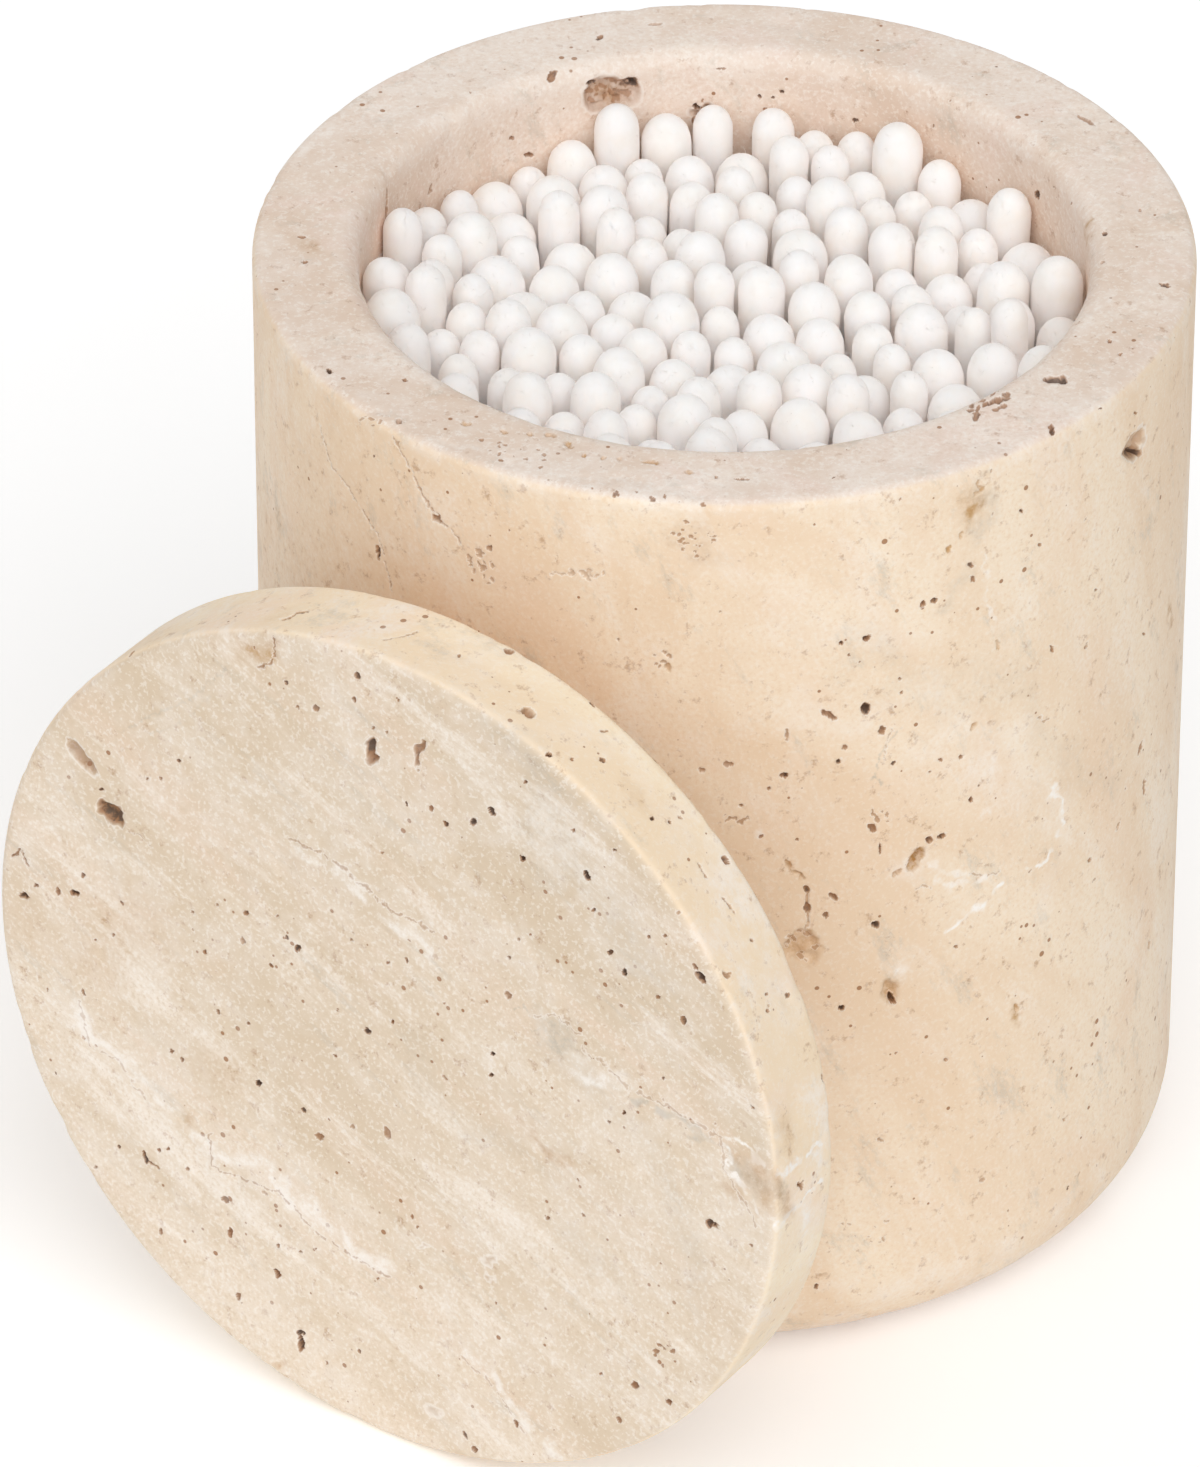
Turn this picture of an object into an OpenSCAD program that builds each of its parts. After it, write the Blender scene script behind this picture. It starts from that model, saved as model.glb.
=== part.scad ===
// Cotton swab holder: a turned travertine jar full of cotton swabs, its lid stood on edge against it.
// The origin is the centre of the jar's base. Z points up, and the lid leans at the front left.
// Lengths are in millimetres.

/* [Jar] */
// Outer diameter
jar_d = 80; // [76:1:96]
// Height
jar_h = 90.2; // [88:0.2:104]
// Diameter of the bore
bore_d = 62; // [56:1:66]
// Thickness of the floor
floor_t = 8.6; // [7.6:0.1:11]
// Rounding of the outer edge at the foot
foot_r = 9.2; // [4:0.2:12]
// Rounding of the outer edge at the rim
rim_r = 0.9; // [0.4:0.1:2]
// Rounding of the inner lip
lip_r = 1.8; // [0.6:0.1:2.4]
// Rounding where the bore meets the floor
well_r = 1.6; // [0.6:0.1:2]

/* [Lid] */
// Diameter
lid_d = 79.4; // [75:0.2:95]
// Thickness of the disc
lid_t = 8.8; // [6:0.2:12]
// Rounding of the disc's edges
lid_edge_r = 0.8; // [0.4:0.1:2]
// Height of the plug that enters the bore
plug_h = 5.9; // [3:0.1:9]
// Rounding of the plug's lower edge
plug_edge_r = 0.8; // [0.4:0.1:2]
// Radial clearance between the plug and the bore
plug_gap = 0.7; // [0.3:0.1:1.5]

/* [Leaning lid] */
// Direction that the lid faces, counted from the front
lid_turn = -34; // [-60:1:0]
// Backward lean, from upright
lid_lean = 1; // [0.4:0.1:4]
// Sideways offset of the lid from the middle of the jar
lid_slide = 2.6; // [-6:0.2:6]
// Gap between the plug's edge and the jar's side
seat_gap = 0.3; // [0.2:0.1:0.5]

/* [Swabs] */
// Length from tip to tip
swab_len = 74; // [70:0.5:76]
// Diameter of the paper stick
stick_d = 2.2; // [1.8:0.1:2.6]
// Length of the cotton on each end
cotton_len = 13; // [10:0.5:16]
// Diameter of the thinnest cotton tip
cotton_min_d = 3.4; // [3:0.1:3.8]
// Diameter of the thickest cotton tip
cotton_max_d = 5.2; // [4.2:0.1:5.4]
// How rare thick tips are: 1 is an even spread
thick_rarity = 1.5; // [1:0.1:3]
// Cotton on the stick where the tip ends
cotton_wrap = 0.25; // [0.1:0.05:0.4]
// Cotton beyond the end of the stick
cotton_cap = 1.8; // [1:0.1:3]
// Distance from the nose to the thickest place, less the tip's radius
belly_len = 0.4; // [0.2:0.1:2]
// How long a tip keeps its girth before it thins out: 1 starts at once
girth_hold = 1.7; // [1:0.1:2.5]
// Spacing of the rings that the swabs fill
swab_pitch = 4.14; // [4:0.02:4.6]
// Least gap between two tips, and between a tip and the bore
swab_gap = 0.15; // [0.1:0.05:0.3]
// Gap under the lowest swabs
swab_rest = 0.2; // [0.1:0.05:0.3]
// Most that a swab in the middle is held up by its neighbours
lift = 3; // [0:0.1:3]
// Most that a swab by the wall is held up
wall_lift = 4.6; // [0:0.1:5]
// Side of the clear square above the swabs in the middle
mouth = 43; // [30:1:43]
// Disorder of the crowd of swabs
jitter = 3; // [0:0.1:4]
// Most that a swab's lower end stands off from below its upper end, before they settle
lean = 1.4; // [0:0.1:1.8]
// Rounds in which overlapping tips push each other apart
settle_rounds = 40; // [20:1:80]
// Seed of the disorder
seed = 11; // [1:1:99]

/* [Hidden] */
jar_r = jar_d / 2;
bore_r = bore_d / 2;
lid_r = lid_d / 2;
plug_r = bore_r - plug_gap;
stick_r = stick_d / 2;
neck_r = stick_r + cotton_wrap;

// Height of the lid's centre, with its back edge on the ground
lid_centre_z = (lid_r - lid_edge_r) * cos(lid_lean) + lid_edge_r + (lid_t - lid_edge_r) * sin(lid_lean);
// Height on the plug, above its centre, where it meets the jar
touch_h = sqrt(plug_r * plug_r - lid_slide * lid_slide) - plug_edge_r;
// Distance of the lid's face from the jar's axis, with the plug's upper edge at the jar's side
lid_reach = jar_r + seat_gap + plug_edge_r
    + (lid_t + plug_h - plug_edge_r) * cos(lid_lean) + touch_h * sin(lid_lean);

// Places of the swabs: ring and number in the ring, with one swab in the middle
rings = round((bore_r - cotton_max_d / 2) / swab_pitch);
SWABS = [for (k = [0:rings]) for (i = [0:max(6 * k, 1) - 1]) [k, i]];
count = len(SWABS);
shares = rands(0, 1, count, seed);
girths = [for (s = shares) (cotton_min_d + (cotton_max_d - cotton_min_d) * pow(s, thick_rarity)) / 2];
turns = rands(0, 60, rings + 1, seed + 1);
side_x = rands(-jitter / 2, jitter / 2, count, seed + 2);
side_y = rands(-jitter / 2, jitter / 2, count, seed + 3);
shift_x = rands(-lean / 2, lean / 2, count, seed + 4);
shift_y = rands(-lean / 2, lean / 2, count, seed + 5);
lifts = rands(0, 1, count, seed + 6);

// Even places on the rings, which the disorder starts from
EVEN = [for (s = SWABS) s[0] * swab_pitch * [cos(60 * s[1] / max(s[0], 1) + turns[s[0]]),
    sin(60 * s[1] / max(s[0], 1) + turns[s[0]])]];
// Swabs that can come to touch, for each swab
NEAR = [for (i = [0:count - 1]) [for (j = [0:count - 1])
    if (j != i && norm(EVEN[i] - EVEN[j]) < 2 * swab_pitch) j]];

// Sum of a list of vectors
function total(v, i = 0) = i < len(v) ? v[i] + total(v, i + 1) : [0, 0];
// Half the step that clears place p of an overlap with place q
function apart(p, q, reach) = norm(p - q) < reach ? (p - q) * (reach / max(norm(p - q), 0.01) - 1) / 2 : [0, 0];
// Place p brought inside a circle of radius r
function inside(p, r) = norm(p) > r ? p * r / norm(p) : p;
// The crowd after n rounds in which every overlapping pair moves apart
function settle(places, n) = n == 0 ? places : settle([for (i = [0:count - 1])
    inside(places[i] + total([for (j = NEAR[i]) apart(places[i], places[j], girths[i] + girths[j] + swab_gap)]),
        bore_r - swab_gap - girths[i])], n - 1);

TOPS = settle([for (i = [0:count - 1]) EVEN[i] + [side_x[i], side_y[i]]], settle_rounds);
FEET = settle([for (i = [0:count - 1]) TOPS[i] + [shift_x[i], shift_y[i]]], settle_rounds);

// Largest cotton radius at a place that clears the wall and the neighbours
function room(places, i) = min(girths[i], bore_r - swab_gap - norm(places[i]),
    min([for (j = NEAR[i]) (norm(places[i] - places[j]) - swab_gap) * girths[i] / (girths[i] + girths[j])]));
// True where the swab stands clear of the square above the middle
function by_wall(i) = max(abs(TOPS[i][0]), abs(TOPS[i][1])) > mouth / 2 + girths[i] + swab_gap;
// Height of a swab's lower end above the floor
function raised(i) = swab_rest + (by_wall(i) ? wall_lift : lift) * lifts[i];

// Large open pores of the stone. On the jar each has its turn about the axis (from the front on the
// wall, from the back in the bore) and its share of the height. On the lid's face it has its two
// shares of the radius. Length, width, slant and depth follow.
WALL_PORES = [[9.5, 0.5, 3.4, 2.8, -30, 1.4], [20.5, 0.433, 3.4, 1.6, -80, 1], [23.5, 0.58, 2.6, 1.4, 57, 1],
    [58, 0.925, 3.6, 2.4, 6, 1], [-37, 0.925, 2.4, 1.6, -15, 0.9], [17, 0.762, 1.8, 0.9, -80, 0.7],
    [-46.5, 0.854, 1.9, 0.9, -83, 0.7], [38.5, 0.36, 2.8, 1.2, -80, 0.5]];
BORE_PORES = [[18.5, 0.962, 5.2, 3, -2, 1.5], [2.5, 0.921, 4.8, 2.6, -80, 1.4]];
LID_PORES = [[-0.77, 0.46, 3.8, 1.6, -41, 0.8], [-0.705, 0.35, 2.4, 1.6, -31, 1],
    [-0.025, 0.76, 2.6, 1.5, -84, 1], [0.09, 0.79, 3, 0.9, -99, 0.5],
    [-0.205, -0.845, 2.5, 0.9, -85, 0.8], [0.805, 0.515, 1.6, 1, -38, 0.8]];

RING_NUMBERS = [for (k = [1:rings]) k];

// Half section of a turned block with rounded lower and upper edges
module turned(r, h, low, high) {
    square([r - low, h]);
    translate([0, low]) square([r - high, h - low]);
    translate([0, low]) square([r, h - low - high]);
    translate([r - low, low]) circle(low);
    translate([r - high, h - high]) circle(high);
}

// Hollow of one pore in a surface at height 0: three balls in a row along x
module pore(long, wide, deep) {
    ball = (wide * wide / 4 + deep * deep) / (2 * deep);
    for (k = [-1:1]) translate([k * (long - wide) / 2, 0, ball - deep * (k == 0 ? 1 : 0.8)])
        sphere(ball, $fn = 24);
}

// Pores on a turned side at distance from the axis, where out is -1 on the wall and 1 in the bore
module side_pores(pores, distance, out) {
    for (p = pores) rotate([0, 0, p[0]]) translate([0, out * distance, p[1] * jar_h])
        rotate([90, 0, 0]) rotate([0, 0, p[4]]) pore(p[2], p[3], p[5]);
}

module jar_block() {
    rotate_extrude($fn = 180) difference() {
        turned(jar_r, jar_h, foot_r, rim_r, $fn = 96);
        translate([0, floor_t]) turned(bore_r, jar_h, well_r, well_r, $fn = 48);
        difference() {
            translate([0, jar_h - lip_r]) square([bore_r + lip_r, 2 * lip_r]);
            translate([bore_r + lip_r, jar_h - lip_r]) circle(lip_r, $fn = 48);
        }
    }
}

module jar() {
    color([0.86, 0.78, 0.68]) difference() {
        jar_block();
        side_pores(WALL_PORES, jar_r, -1);
        side_pores(BORE_PORES, bore_r, 1);
    }
}

// The lid as it lies on the jar, with the underside of the disc at height 0
module flat_lid() {
    difference() {
        rotate_extrude($fn = 180) {
            turned(lid_r, lid_t, lid_edge_r, lid_edge_r, $fn = 48);
            translate([0, -plug_h]) turned(plug_r, plug_h + lid_t / 2, plug_edge_r, plug_edge_r, $fn = 48);
        }
        for (p = LID_PORES) translate([p[0] * lid_r, p[1] * lid_r, lid_t]) rotate([0, 0, p[4]])
            pore(p[2], p[3], p[5]);
    }
}

module lid() {
    color([0.87, 0.79, 0.71])
    rotate([0, 0, lid_turn]) translate([lid_slide, -lid_reach, lid_centre_z])
    rotate([90 - lid_lean, 0, 0]) translate([0, 0, -lid_t]) flat_lid();
}

// Outline of one cotton tip of radius r: a round nose, a full belly and a taper to the stick
function nose(r) = [for (a = [0:18:90]) [r * sin(a), (r + belly_len) * (1 - cos(a))]];
function taper(r) = [for (t = [0.25:0.25:1]) [neck_r + (r - neck_r) * pow(cos(90 * pow(t, girth_hold)), 2),
    r + belly_len + t * (cotton_len - r - belly_len)]];

// One cotton tip, its nose at the origin and the bore for its stick above
module cotton(r) {
    rotate_extrude($fn = 24)
    polygon(concat(nose(r), taper(r), [[stick_r, cotton_len], [stick_r, cotton_cap], [0, cotton_cap]]));
}

// Places its children on swab i, at a distance along it from its lower end
module on_swab(i, along) {
    rise = [TOPS[i][0] - FEET[i][0], TOPS[i][1] - FEET[i][1], swab_len - 2 * cotton_max_d];
    tilt = acos(rise[2] / norm(rise));
    foot = [FEET[i][0], FEET[i][1], floor_t + raised(i) + cotton_max_d] - rise * cotton_max_d / norm(rise);
    translate(foot) rotate([0, tilt, atan2(rise[1], rise[0])]) translate([0, 0, along]) children();
}

// Numbers of the swabs in ring k, with the middle one in ring 1
function in_ring(k) = [for (i = [0:count - 1]) if (max(SWABS[i][0], 1) == k) i];

module paper_sticks(k) {
    color([0.93, 0.91, 0.87])
    for (i = in_ring(k)) on_swab(i, cotton_cap)
        cylinder(r = stick_r, h = swab_len - 2 * cotton_cap, $fn = 16);
}

module upper_cotton(k) {
    color([0.96, 0.95, 0.94])
    for (i = in_ring(k)) on_swab(i, swab_len) mirror([0, 0, 1]) cotton(room(TOPS, i));
}

module lower_cotton(k) {
    color([0.94, 0.93, 0.92])
    for (i = in_ring(k)) on_swab(i, 0) cotton(room(FEET, i));
}

jar();
lid();
for (k = RING_NUMBERS) {
    paper_sticks(k);
    upper_cotton(k);
    lower_cotton(k);
}
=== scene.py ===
"""Looks of the cotton swab holder: a travertine jar, its lid on edge against it, and a crowd of cotton swabs.

The jar and the lid are turned skins whose triangles get finer around every pore, crack and vein. The marks
of the stone are named by their places in the photograph, and the photograph's camera carries them onto
the stone. Lengths are in metres, unless a name says otherwise.
"""

import logging
from dataclasses import dataclass, field
from enum import Enum
from typing import Sequence

import bpy
import numpy as np
from mathutils import Matrix, Vector


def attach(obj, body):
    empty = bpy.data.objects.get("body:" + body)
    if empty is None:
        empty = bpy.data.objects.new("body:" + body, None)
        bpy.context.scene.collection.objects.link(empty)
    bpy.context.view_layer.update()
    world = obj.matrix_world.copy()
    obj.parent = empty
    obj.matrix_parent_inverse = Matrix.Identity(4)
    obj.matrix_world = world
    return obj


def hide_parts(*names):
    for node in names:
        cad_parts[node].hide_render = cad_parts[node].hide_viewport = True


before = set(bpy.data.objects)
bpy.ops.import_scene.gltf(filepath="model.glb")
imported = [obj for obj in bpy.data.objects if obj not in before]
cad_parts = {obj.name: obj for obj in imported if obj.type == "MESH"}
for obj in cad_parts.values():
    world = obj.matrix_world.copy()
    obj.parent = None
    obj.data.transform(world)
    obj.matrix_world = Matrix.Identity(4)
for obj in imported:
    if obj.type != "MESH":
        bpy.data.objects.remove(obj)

LOG = logging.getLogger("swab_holder")
MM = 0.001
SEED = 7
BODY = "root"
ZONE = "cut face"
# Pixels of the photograph for a millimetre of the stone, and how deep the pores are for their width.
PX_PER_MM = 11.48
PIT_DEPTH = 0.55
PIT_LEAST_MM = 0.1
SPECK_DEPTH = 0.8
# Radians a metre from which the outline counts as a rounded edge, and how far the wear spreads from it.
EDGE_BEND = 300.0
EDGE_WEAR = 0.9 * MM
# Shares of a pit's half width where its flat bottom ends and where its tint ends.
PIT_BOTTOM = 0.45
TINT_END = 1.05


class Face(Enum):
    """The faces of the stone that carry marks."""

    WALL = "wall"
    RIM = "rim"
    BORE = "bore"
    LID_FACE = "lid face"
    LID_EDGE = "lid edge"


class Tint(Enum):
    """What a mark does to the colour of the stone."""

    BROWN = "brown"
    OCHRE = "ochre"
    WHITE = "white"
    GREY = "grey"


@dataclass(frozen=True)
class Mark:
    """A mark of the stone, by its place and size in the photograph in pixels.

    A mark of one point is an ellipse, wide along turn and tall across it. A mark of more points is a
    line through them, as wide as wide. deep is in millimetres, and soft is the share of the mark
    over which its edge fades.
    """

    path: tuple[tuple[float, float], ...]
    wide: float
    tall: float = 0.0
    turn: float = 0.0
    deep: float = 0.0
    tint: Tint = Tint.BROWN
    strength: float = 0.8
    soft: float = 0.3
    ragged: float = 0.3


def pit(x: float, y: float, wide: float, tall: float, turn: float = 0.0, deep: float = -1.0,
        tint: Tint = Tint.BROWN, strength: float = 0.7, ragged: float = 0.35) -> Mark:
    """An open pore, somewhat deeper than half its narrow side where no depth is given.

    Args:
        x: Place from the left, in pixels.
        y: Place from the top, in pixels.
        wide: Length along turn, in pixels.
        tall: Length across turn, in pixels.
        turn: Slant of the long side, in degrees clockwise in the picture.
        deep: Depth in millimetres.
        tint: Colour in the pore.
        strength: Share of that colour.
        ragged: Raggedness of the outline.

    Returns:
        The mark.
    """
    depth = deep if deep >= 0 else min(wide, tall) / PX_PER_MM * PIT_DEPTH + PIT_LEAST_MM
    return Mark(((x, y),), wide, tall, turn, depth, tint, strength, 0.3, ragged)


def speck(x: float, y: float, size: float = 6.0, strength: float = 0.9) -> Mark:
    """A small dark pore at pixel x, y."""
    return pit(x, y, size, size, 0.0, size / PX_PER_MM * SPECK_DEPTH, Tint.BROWN, strength)


def crack(points: Sequence[tuple[float, float]], wide: float = 4.0, deep: float = 0.35,
          strength: float = 0.5, tint: Tint = Tint.BROWN) -> Mark:
    """A crack along pixel points, wide in pixels and deep in millimetres."""
    return Mark(tuple(points), wide, 0.0, 0.0, deep, tint, strength, 0.5, 1.0)


def vein(points: Sequence[tuple[float, float]], wide: float, strength: float = 0.6,
         tint: Tint = Tint.WHITE, soft: float = 0.6) -> Mark:
    """A filled vein along pixel points, a colour without depth."""
    return Mark(tuple(points), wide, 0.0, 0.0, 0.0, tint, strength, soft, 1.1)


def stain(x: float, y: float, wide: float, tall: float, turn: float = 0.0, tint: Tint = Tint.OCHRE,
          strength: float = 0.4) -> Mark:
    """A soft patch of colour around pixel x, y."""
    return Mark(((x, y),), wide, tall, turn, 0.0, tint, strength, 0.9, 0.5)


def crumble(x: float, y: float, wide: float, tall: float, turn: float, count: int,
            size: float = 4.0, strength: float = 0.45) -> tuple[Mark, ...]:
    """A patch of tiny pores scattered over an ellipse.

    Args:
        x: Middle of the patch from the left, in pixels.
        y: Middle of the patch from the top, in pixels.
        wide: Length along turn, in pixels.
        tall: Length across turn, in pixels.
        turn: Slant of the long side, in degrees clockwise.
        count: Number of pores.
        size: Mean size of a pore, in pixels.
        strength: Share of brown in the pores.

    Returns:
        One mark for each pore.
    """
    dice = np.random.default_rng(int(x * 7 + y))
    far = np.sqrt(dice.random(count)) / 2
    way = dice.random(count) * 2 * np.pi
    slant = np.radians(turn)
    along = far * np.cos(way) * wide
    across = far * np.sin(way) * tall
    xs = x + along * np.cos(slant) - across * np.sin(slant)
    ys = y + along * np.sin(slant) + across * np.cos(slant)
    sizes = size * (0.5 + dice.random(count))
    slants = turn + dice.normal(0, 35, count)
    return tuple(pit(px, py, s * 1.6, s * 0.9, a, s / 30, Tint.BROWN, strength)
                 for px, py, s, a in zip(xs, ys, sizes, slants))


WALL_MARKS: tuple[Mark, ...] = (
    # Crack on the left, from the rim down
    *crumble(371, 418, 26, 18, 20, 12, 4, 0.4),
    crack(((380, 424), (388, 428), (398, 448), (412, 470), (418, 486)), 4, 0.3, 0.35),
    pit(437, 518, 17, 10, 45, 0.7, strength=0.6),
    crack(((418, 486), (428, 505), (450, 528), (463, 547)), 4, 0.3, 0.4),
    *crumble(482, 566, 42, 20, 55, 26, 4, 0.4),
    # Thin crack beside it
    crack(((319, 422), (324, 442), (332, 467), (348, 486), (367, 518), (378, 534), (392, 591)),
          2.5, 0.2, 0.4),
    pit(378, 553, 20, 7, 84, 0.7, strength=0.85),
    # Upper part of the wall
    stain(694, 540, 60, 46, 10, Tint.OCHRE, 0.25),
    *crumble(694, 540, 44, 40, 10, 24, 3.6, 0.5),
    *crumble(587, 574, 34, 16, 0, 12, 4.4, 0.3),
    crack(((549, 574), (560, 573), (571, 574)), 2.5, 0.12, 0.3),
    pit(668, 668, 10, 9, 0, tint=Tint.OCHRE),
    *crumble(662, 655, 16, 26, 20, 8, 4),
    pit(829, 715, 25, 8, 30, 0.5),
    pit(866, 709, 17, 11, 80, 0.7, strength=0.95),
    pit(882, 730, 12, 9, 90, 0.5),
    speck(900, 679, 5, 0.6),
    speck(901, 693, 5, 0.6),
    pit(787, 735, 18, 5, 90, 0.25, strength=0.45),
    pit(728, 765, 12, 8, 20, 0.35, strength=0.5),
    pit(702, 770, 9, 7, 0, 0.25, strength=0.5),
    speck(784, 776, 9),
    speck(769, 789, 5, 0.6),
    speck(741, 806, 5, 0.6),
    *crumble(735, 818, 27, 11, 0, 11, 4),
    stain(760, 834, 16, 12, 0, Tint.WHITE, 0.5),
    speck(797, 840, 5, 0.6),
    speck(838, 762, 6),
    pit(841, 643, 7, 6, 0, 0.45, strength=0.9),
    pit(866, 639, 8, 7, 0, 0.5, strength=0.95),
    speck(849, 655, 4, 0.7),
    pit(873, 828, 13, 9, 40, 0.5),
    *crumble(881, 816, 20, 18, 50, 9, 4),
    pit(880, 849, 15, 3, 90, 0.3, strength=0.85),
    # Ochre cavity with a white rim
    stain(915, 860, 50, 34, -60, Tint.WHITE, 0.4),
    pit(916, 859, 28, 13, -58, 1.1, tint=Tint.OCHRE, strength=0.95),
    pit(897, 873, 16, 7, -35, 0.5, tint=Tint.OCHRE),
    pit(929, 840, 11, 8, -40, 0.6),
    speck(941, 836, 8),
    speck(971, 800, 6),
    speck(961, 757, 5, 0.7),
    speck(941, 760, 5, 0.7),
    speck(930, 772, 4, 0.6),
    # Reddish crack down to the round pit
    crack(((785, 862), (801, 873), (807, 877)), 6, 0.35, 0.5, Tint.OCHRE),
    pit(806, 889, 12, 8, 60, 0.5),
    pit(833, 897, 16, 7, 40, 0.5),
    pit(807, 908, 14, 9, 80, 0.5),
    pit(826, 915, 10, 7, 0, 0.4),
    crack(((806, 889), (808, 905), (806, 930)), 4, 0.3, 0.3),
    pit(803, 948, 38, 32, 20, 0.8, Tint.OCHRE, 0.35, ragged=0.4),
    *crumble(803, 948, 34, 28, 20, 16, 5, 0.4),
    # Middle and lower part of the wall
    pit(876, 925, 11, 9, 0, 0.7, strength=0.95),
    pit(890, 992, 32, 18, 80, 0.8, Tint.OCHRE, 0.5, ragged=0.4),
    stain(902, 971, 20, 16, 0, Tint.WHITE, 0.75),
    pit(893, 1000, 12, 8, 80, 1.4, strength=0.9),
    speck(842, 1008, 8),
    stain(1016, 1012, 26, 11, 84, Tint.OCHRE, 0.8),
    pit(1016, 1008, 14, 6, 84, 0.3, tint=Tint.OCHRE),
    speck(956, 947, 5, 0.6),
    pit(974, 726, 15, 6, -50, 0.3, tint=Tint.OCHRE, strength=0.6),
    crack(((1037, 716), (1044, 722), (1050, 718)), 3, 0.15, 0.4),
    crack(((915, 890), (923, 885), (931, 890)), 3, 0.15, 0.35),
    crack(((969, 874), (984, 876), (999, 872)), 2.5, 0.12, 0.35),
    crack(((893, 729), (886, 742), (884, 760)), 2.5, 0.12, 0.35),
    # Right part of the wall
    pit(1133, 447, 36, 17, -48, 1.0, strength=0.4),
    pit(1138, 451, 14, 11, -40, 1.5, strength=0.95),
    speck(1136, 413, 5, 0.7),
    crack(((977, 481), (981, 490), (974, 496)), 4, 0.2, 0.6, Tint.OCHRE),
    stain(971, 514, 34, 15, -70, Tint.OCHRE, 0.8),
    stain(972, 503, 60, 26, -72, Tint.OCHRE, 0.35),
    pit(961, 535, 12, 6, -70, 0.3, tint=Tint.OCHRE),
    pit(949, 549, 11, 5, -60, 0.25, tint=Tint.OCHRE),
    speck(1021, 511, 5, 0.9),
    speck(1040, 545, 5, 0.7),
    pit(971, 565, 9, 6, 30, 0.3),
    pit(973, 579, 10, 6, 70, 0.3),
    speck(923, 604, 8, 0.8),
    speck(934, 601, 8, 0.8),
    pit(998, 645, 14, 5, 80, 0.25, tint=Tint.OCHRE),
    pit(1052, 649, 11, 4, 70, 0.3),
    speck(1144, 634, 5, 0.7),
    stain(1170, 612, 34, 9, 86, Tint.OCHRE, 0.7),
    pit(1144, 787, 20, 5, 90, 0.4, strength=0.6),
    speck(1096, 590, 4, 0.6),
    speck(720, 612, 4, 0.5),
    speck(618, 640, 4, 0.5),
    speck(1090, 860, 5, 0.5),
    speck(946, 1060, 5, 0.5),
    speck(1064, 1120, 5, 0.5),
    pit(880, 1140, 11, 5, 20, 0.3, strength=0.4),
    pit(982, 1180, 9, 5, -20, 0.3, strength=0.4),
    *crumble(870, 1230, 60, 30, 10, 10, 3.6, 0.4),
    # Warmer and darker stone on the left: partly its own ochre tone, partly painted shadow of the lid
    stain(290, 540, 320, 220, 0, Tint.OCHRE, 0.14),
    # Pale veins and streaks
    vein(((985, 557), (987, 602), (1001, 629)), 6, 0.45),
    vein(((985, 487), (972, 540), (950, 608)), 26, 0.3, Tint.GREY, 0.9),
    vein(((904, 726), (888, 742), (880, 755), (875, 776), (883, 784)), 3, 0.6, Tint.GREY),
    stain(988, 764, 38, 32, 0, Tint.WHITE, 0.45),
    vein(((926, 862), (944, 868), (963, 873)), 9, 0.5),
    vein(((943, 930), (958, 922), (975, 908), (990, 900), (1000, 886)), 11, 0.95),
    stain(986, 811, 14, 10, 0, Tint.WHITE, 0.5),
    vein(((1028, 866), (1044, 860), (1056, 846), (1063, 826), (1060, 800), (1052, 784)), 8, 0.8),
    vein(((930, 868), (945, 880), (968, 884), (990, 878)), 9, 0.6),
    vein(((800, 690), (850, 720), (930, 700), (1010, 760), (1060, 830), (1040, 900)),
         40, 0.22, Tint.WHITE, 0.9),
    vein(((880, 640), (960, 700), (1040, 720), (1110, 800)), 60, 0.14, Tint.GREY, 0.9),
    vein(((560, 520), (700, 540), (820, 600), (900, 640)), 50, 0.16, Tint.WHITE, 0.9),
)

RIM_MARKS: tuple[Mark, ...] = (
    speck(329, 371, 7),
    stain(434, 384, 22, 12, 20, Tint.WHITE, 0.5),
    speck(399, 421, 8, 0.4),
    pit(467, 424, 16, 5, 5, 0.3, Tint.OCHRE, 0.7),
    pit(504, 432, 10, 5, 10, 0.3, Tint.OCHRE, 0.7),
    pit(530, 434, 9, 5, 0, 0.3, Tint.OCHRE, 0.7),
    pit(550, 435, 15, 6, 10, 0.4, Tint.OCHRE, 0.8),
    pit(569, 445, 12, 7, 20, 0.4, Tint.OCHRE, 0.8),
    pit(584, 456, 9, 5, 0, 0.3, Tint.OCHRE, 0.7),
    pit(603, 458, 8, 4, 0, 0.3, Tint.OCHRE, 0.6),
    pit(620, 459, 9, 4, 0, 0.3, Tint.OCHRE, 0.6),
    pit(652, 462, 25, 6, 4, 0.4, Tint.OCHRE, 0.75),
    pit(689, 472, 12, 5, 0, 0.3, Tint.OCHRE, 0.7),
    speck(716, 477, 5, 0.6),
    pit(742, 479, 22, 3, 2, 0.2, strength=0.6),
    *crumble(655, 500, 140, 16, 8, 26, 3.6, 0.6),
    *crumble(520, 455, 110, 20, 12, 14, 3.4, 0.5),
    *crumble(990, 402, 50, 22, -25, 16, 6, 0.6),
    pit(994, 401, 30, 7, -24, 0.7, strength=0.7),
    pit(1057, 380, 30, 11, 8, 0.8, strength=0.8),
    pit(1052, 428, 13, 9, 80, 0.6, strength=0.8),
    speck(1110, 341, 6, 0.6),
    speck(1120, 354, 5, 0.6),
    pit(302, 237, 12, 4, 0, 0.3, strength=0.7),
    pit(304, 262, 11, 4, 0, 0.3, strength=0.7),
    stain(300, 250, 50, 30, 0, Tint.OCHRE, 0.25),
    pit(1086, 120, 30, 5, 30, 0.35, strength=0.5),
    pit(655, 24, 20, 4, -4, 0.25, strength=0.4),
    speck(1140, 210, 5, 0.5),
    vein(((275, 165), (300, 150), (330, 128)), 14, 0.5),
    vein(((1080, 330), (1110, 300), (1150, 270)), 16, 0.35),
    vein(((440, 440), (520, 462), (600, 478), (700, 488)), 10, 0.35),
)

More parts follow.
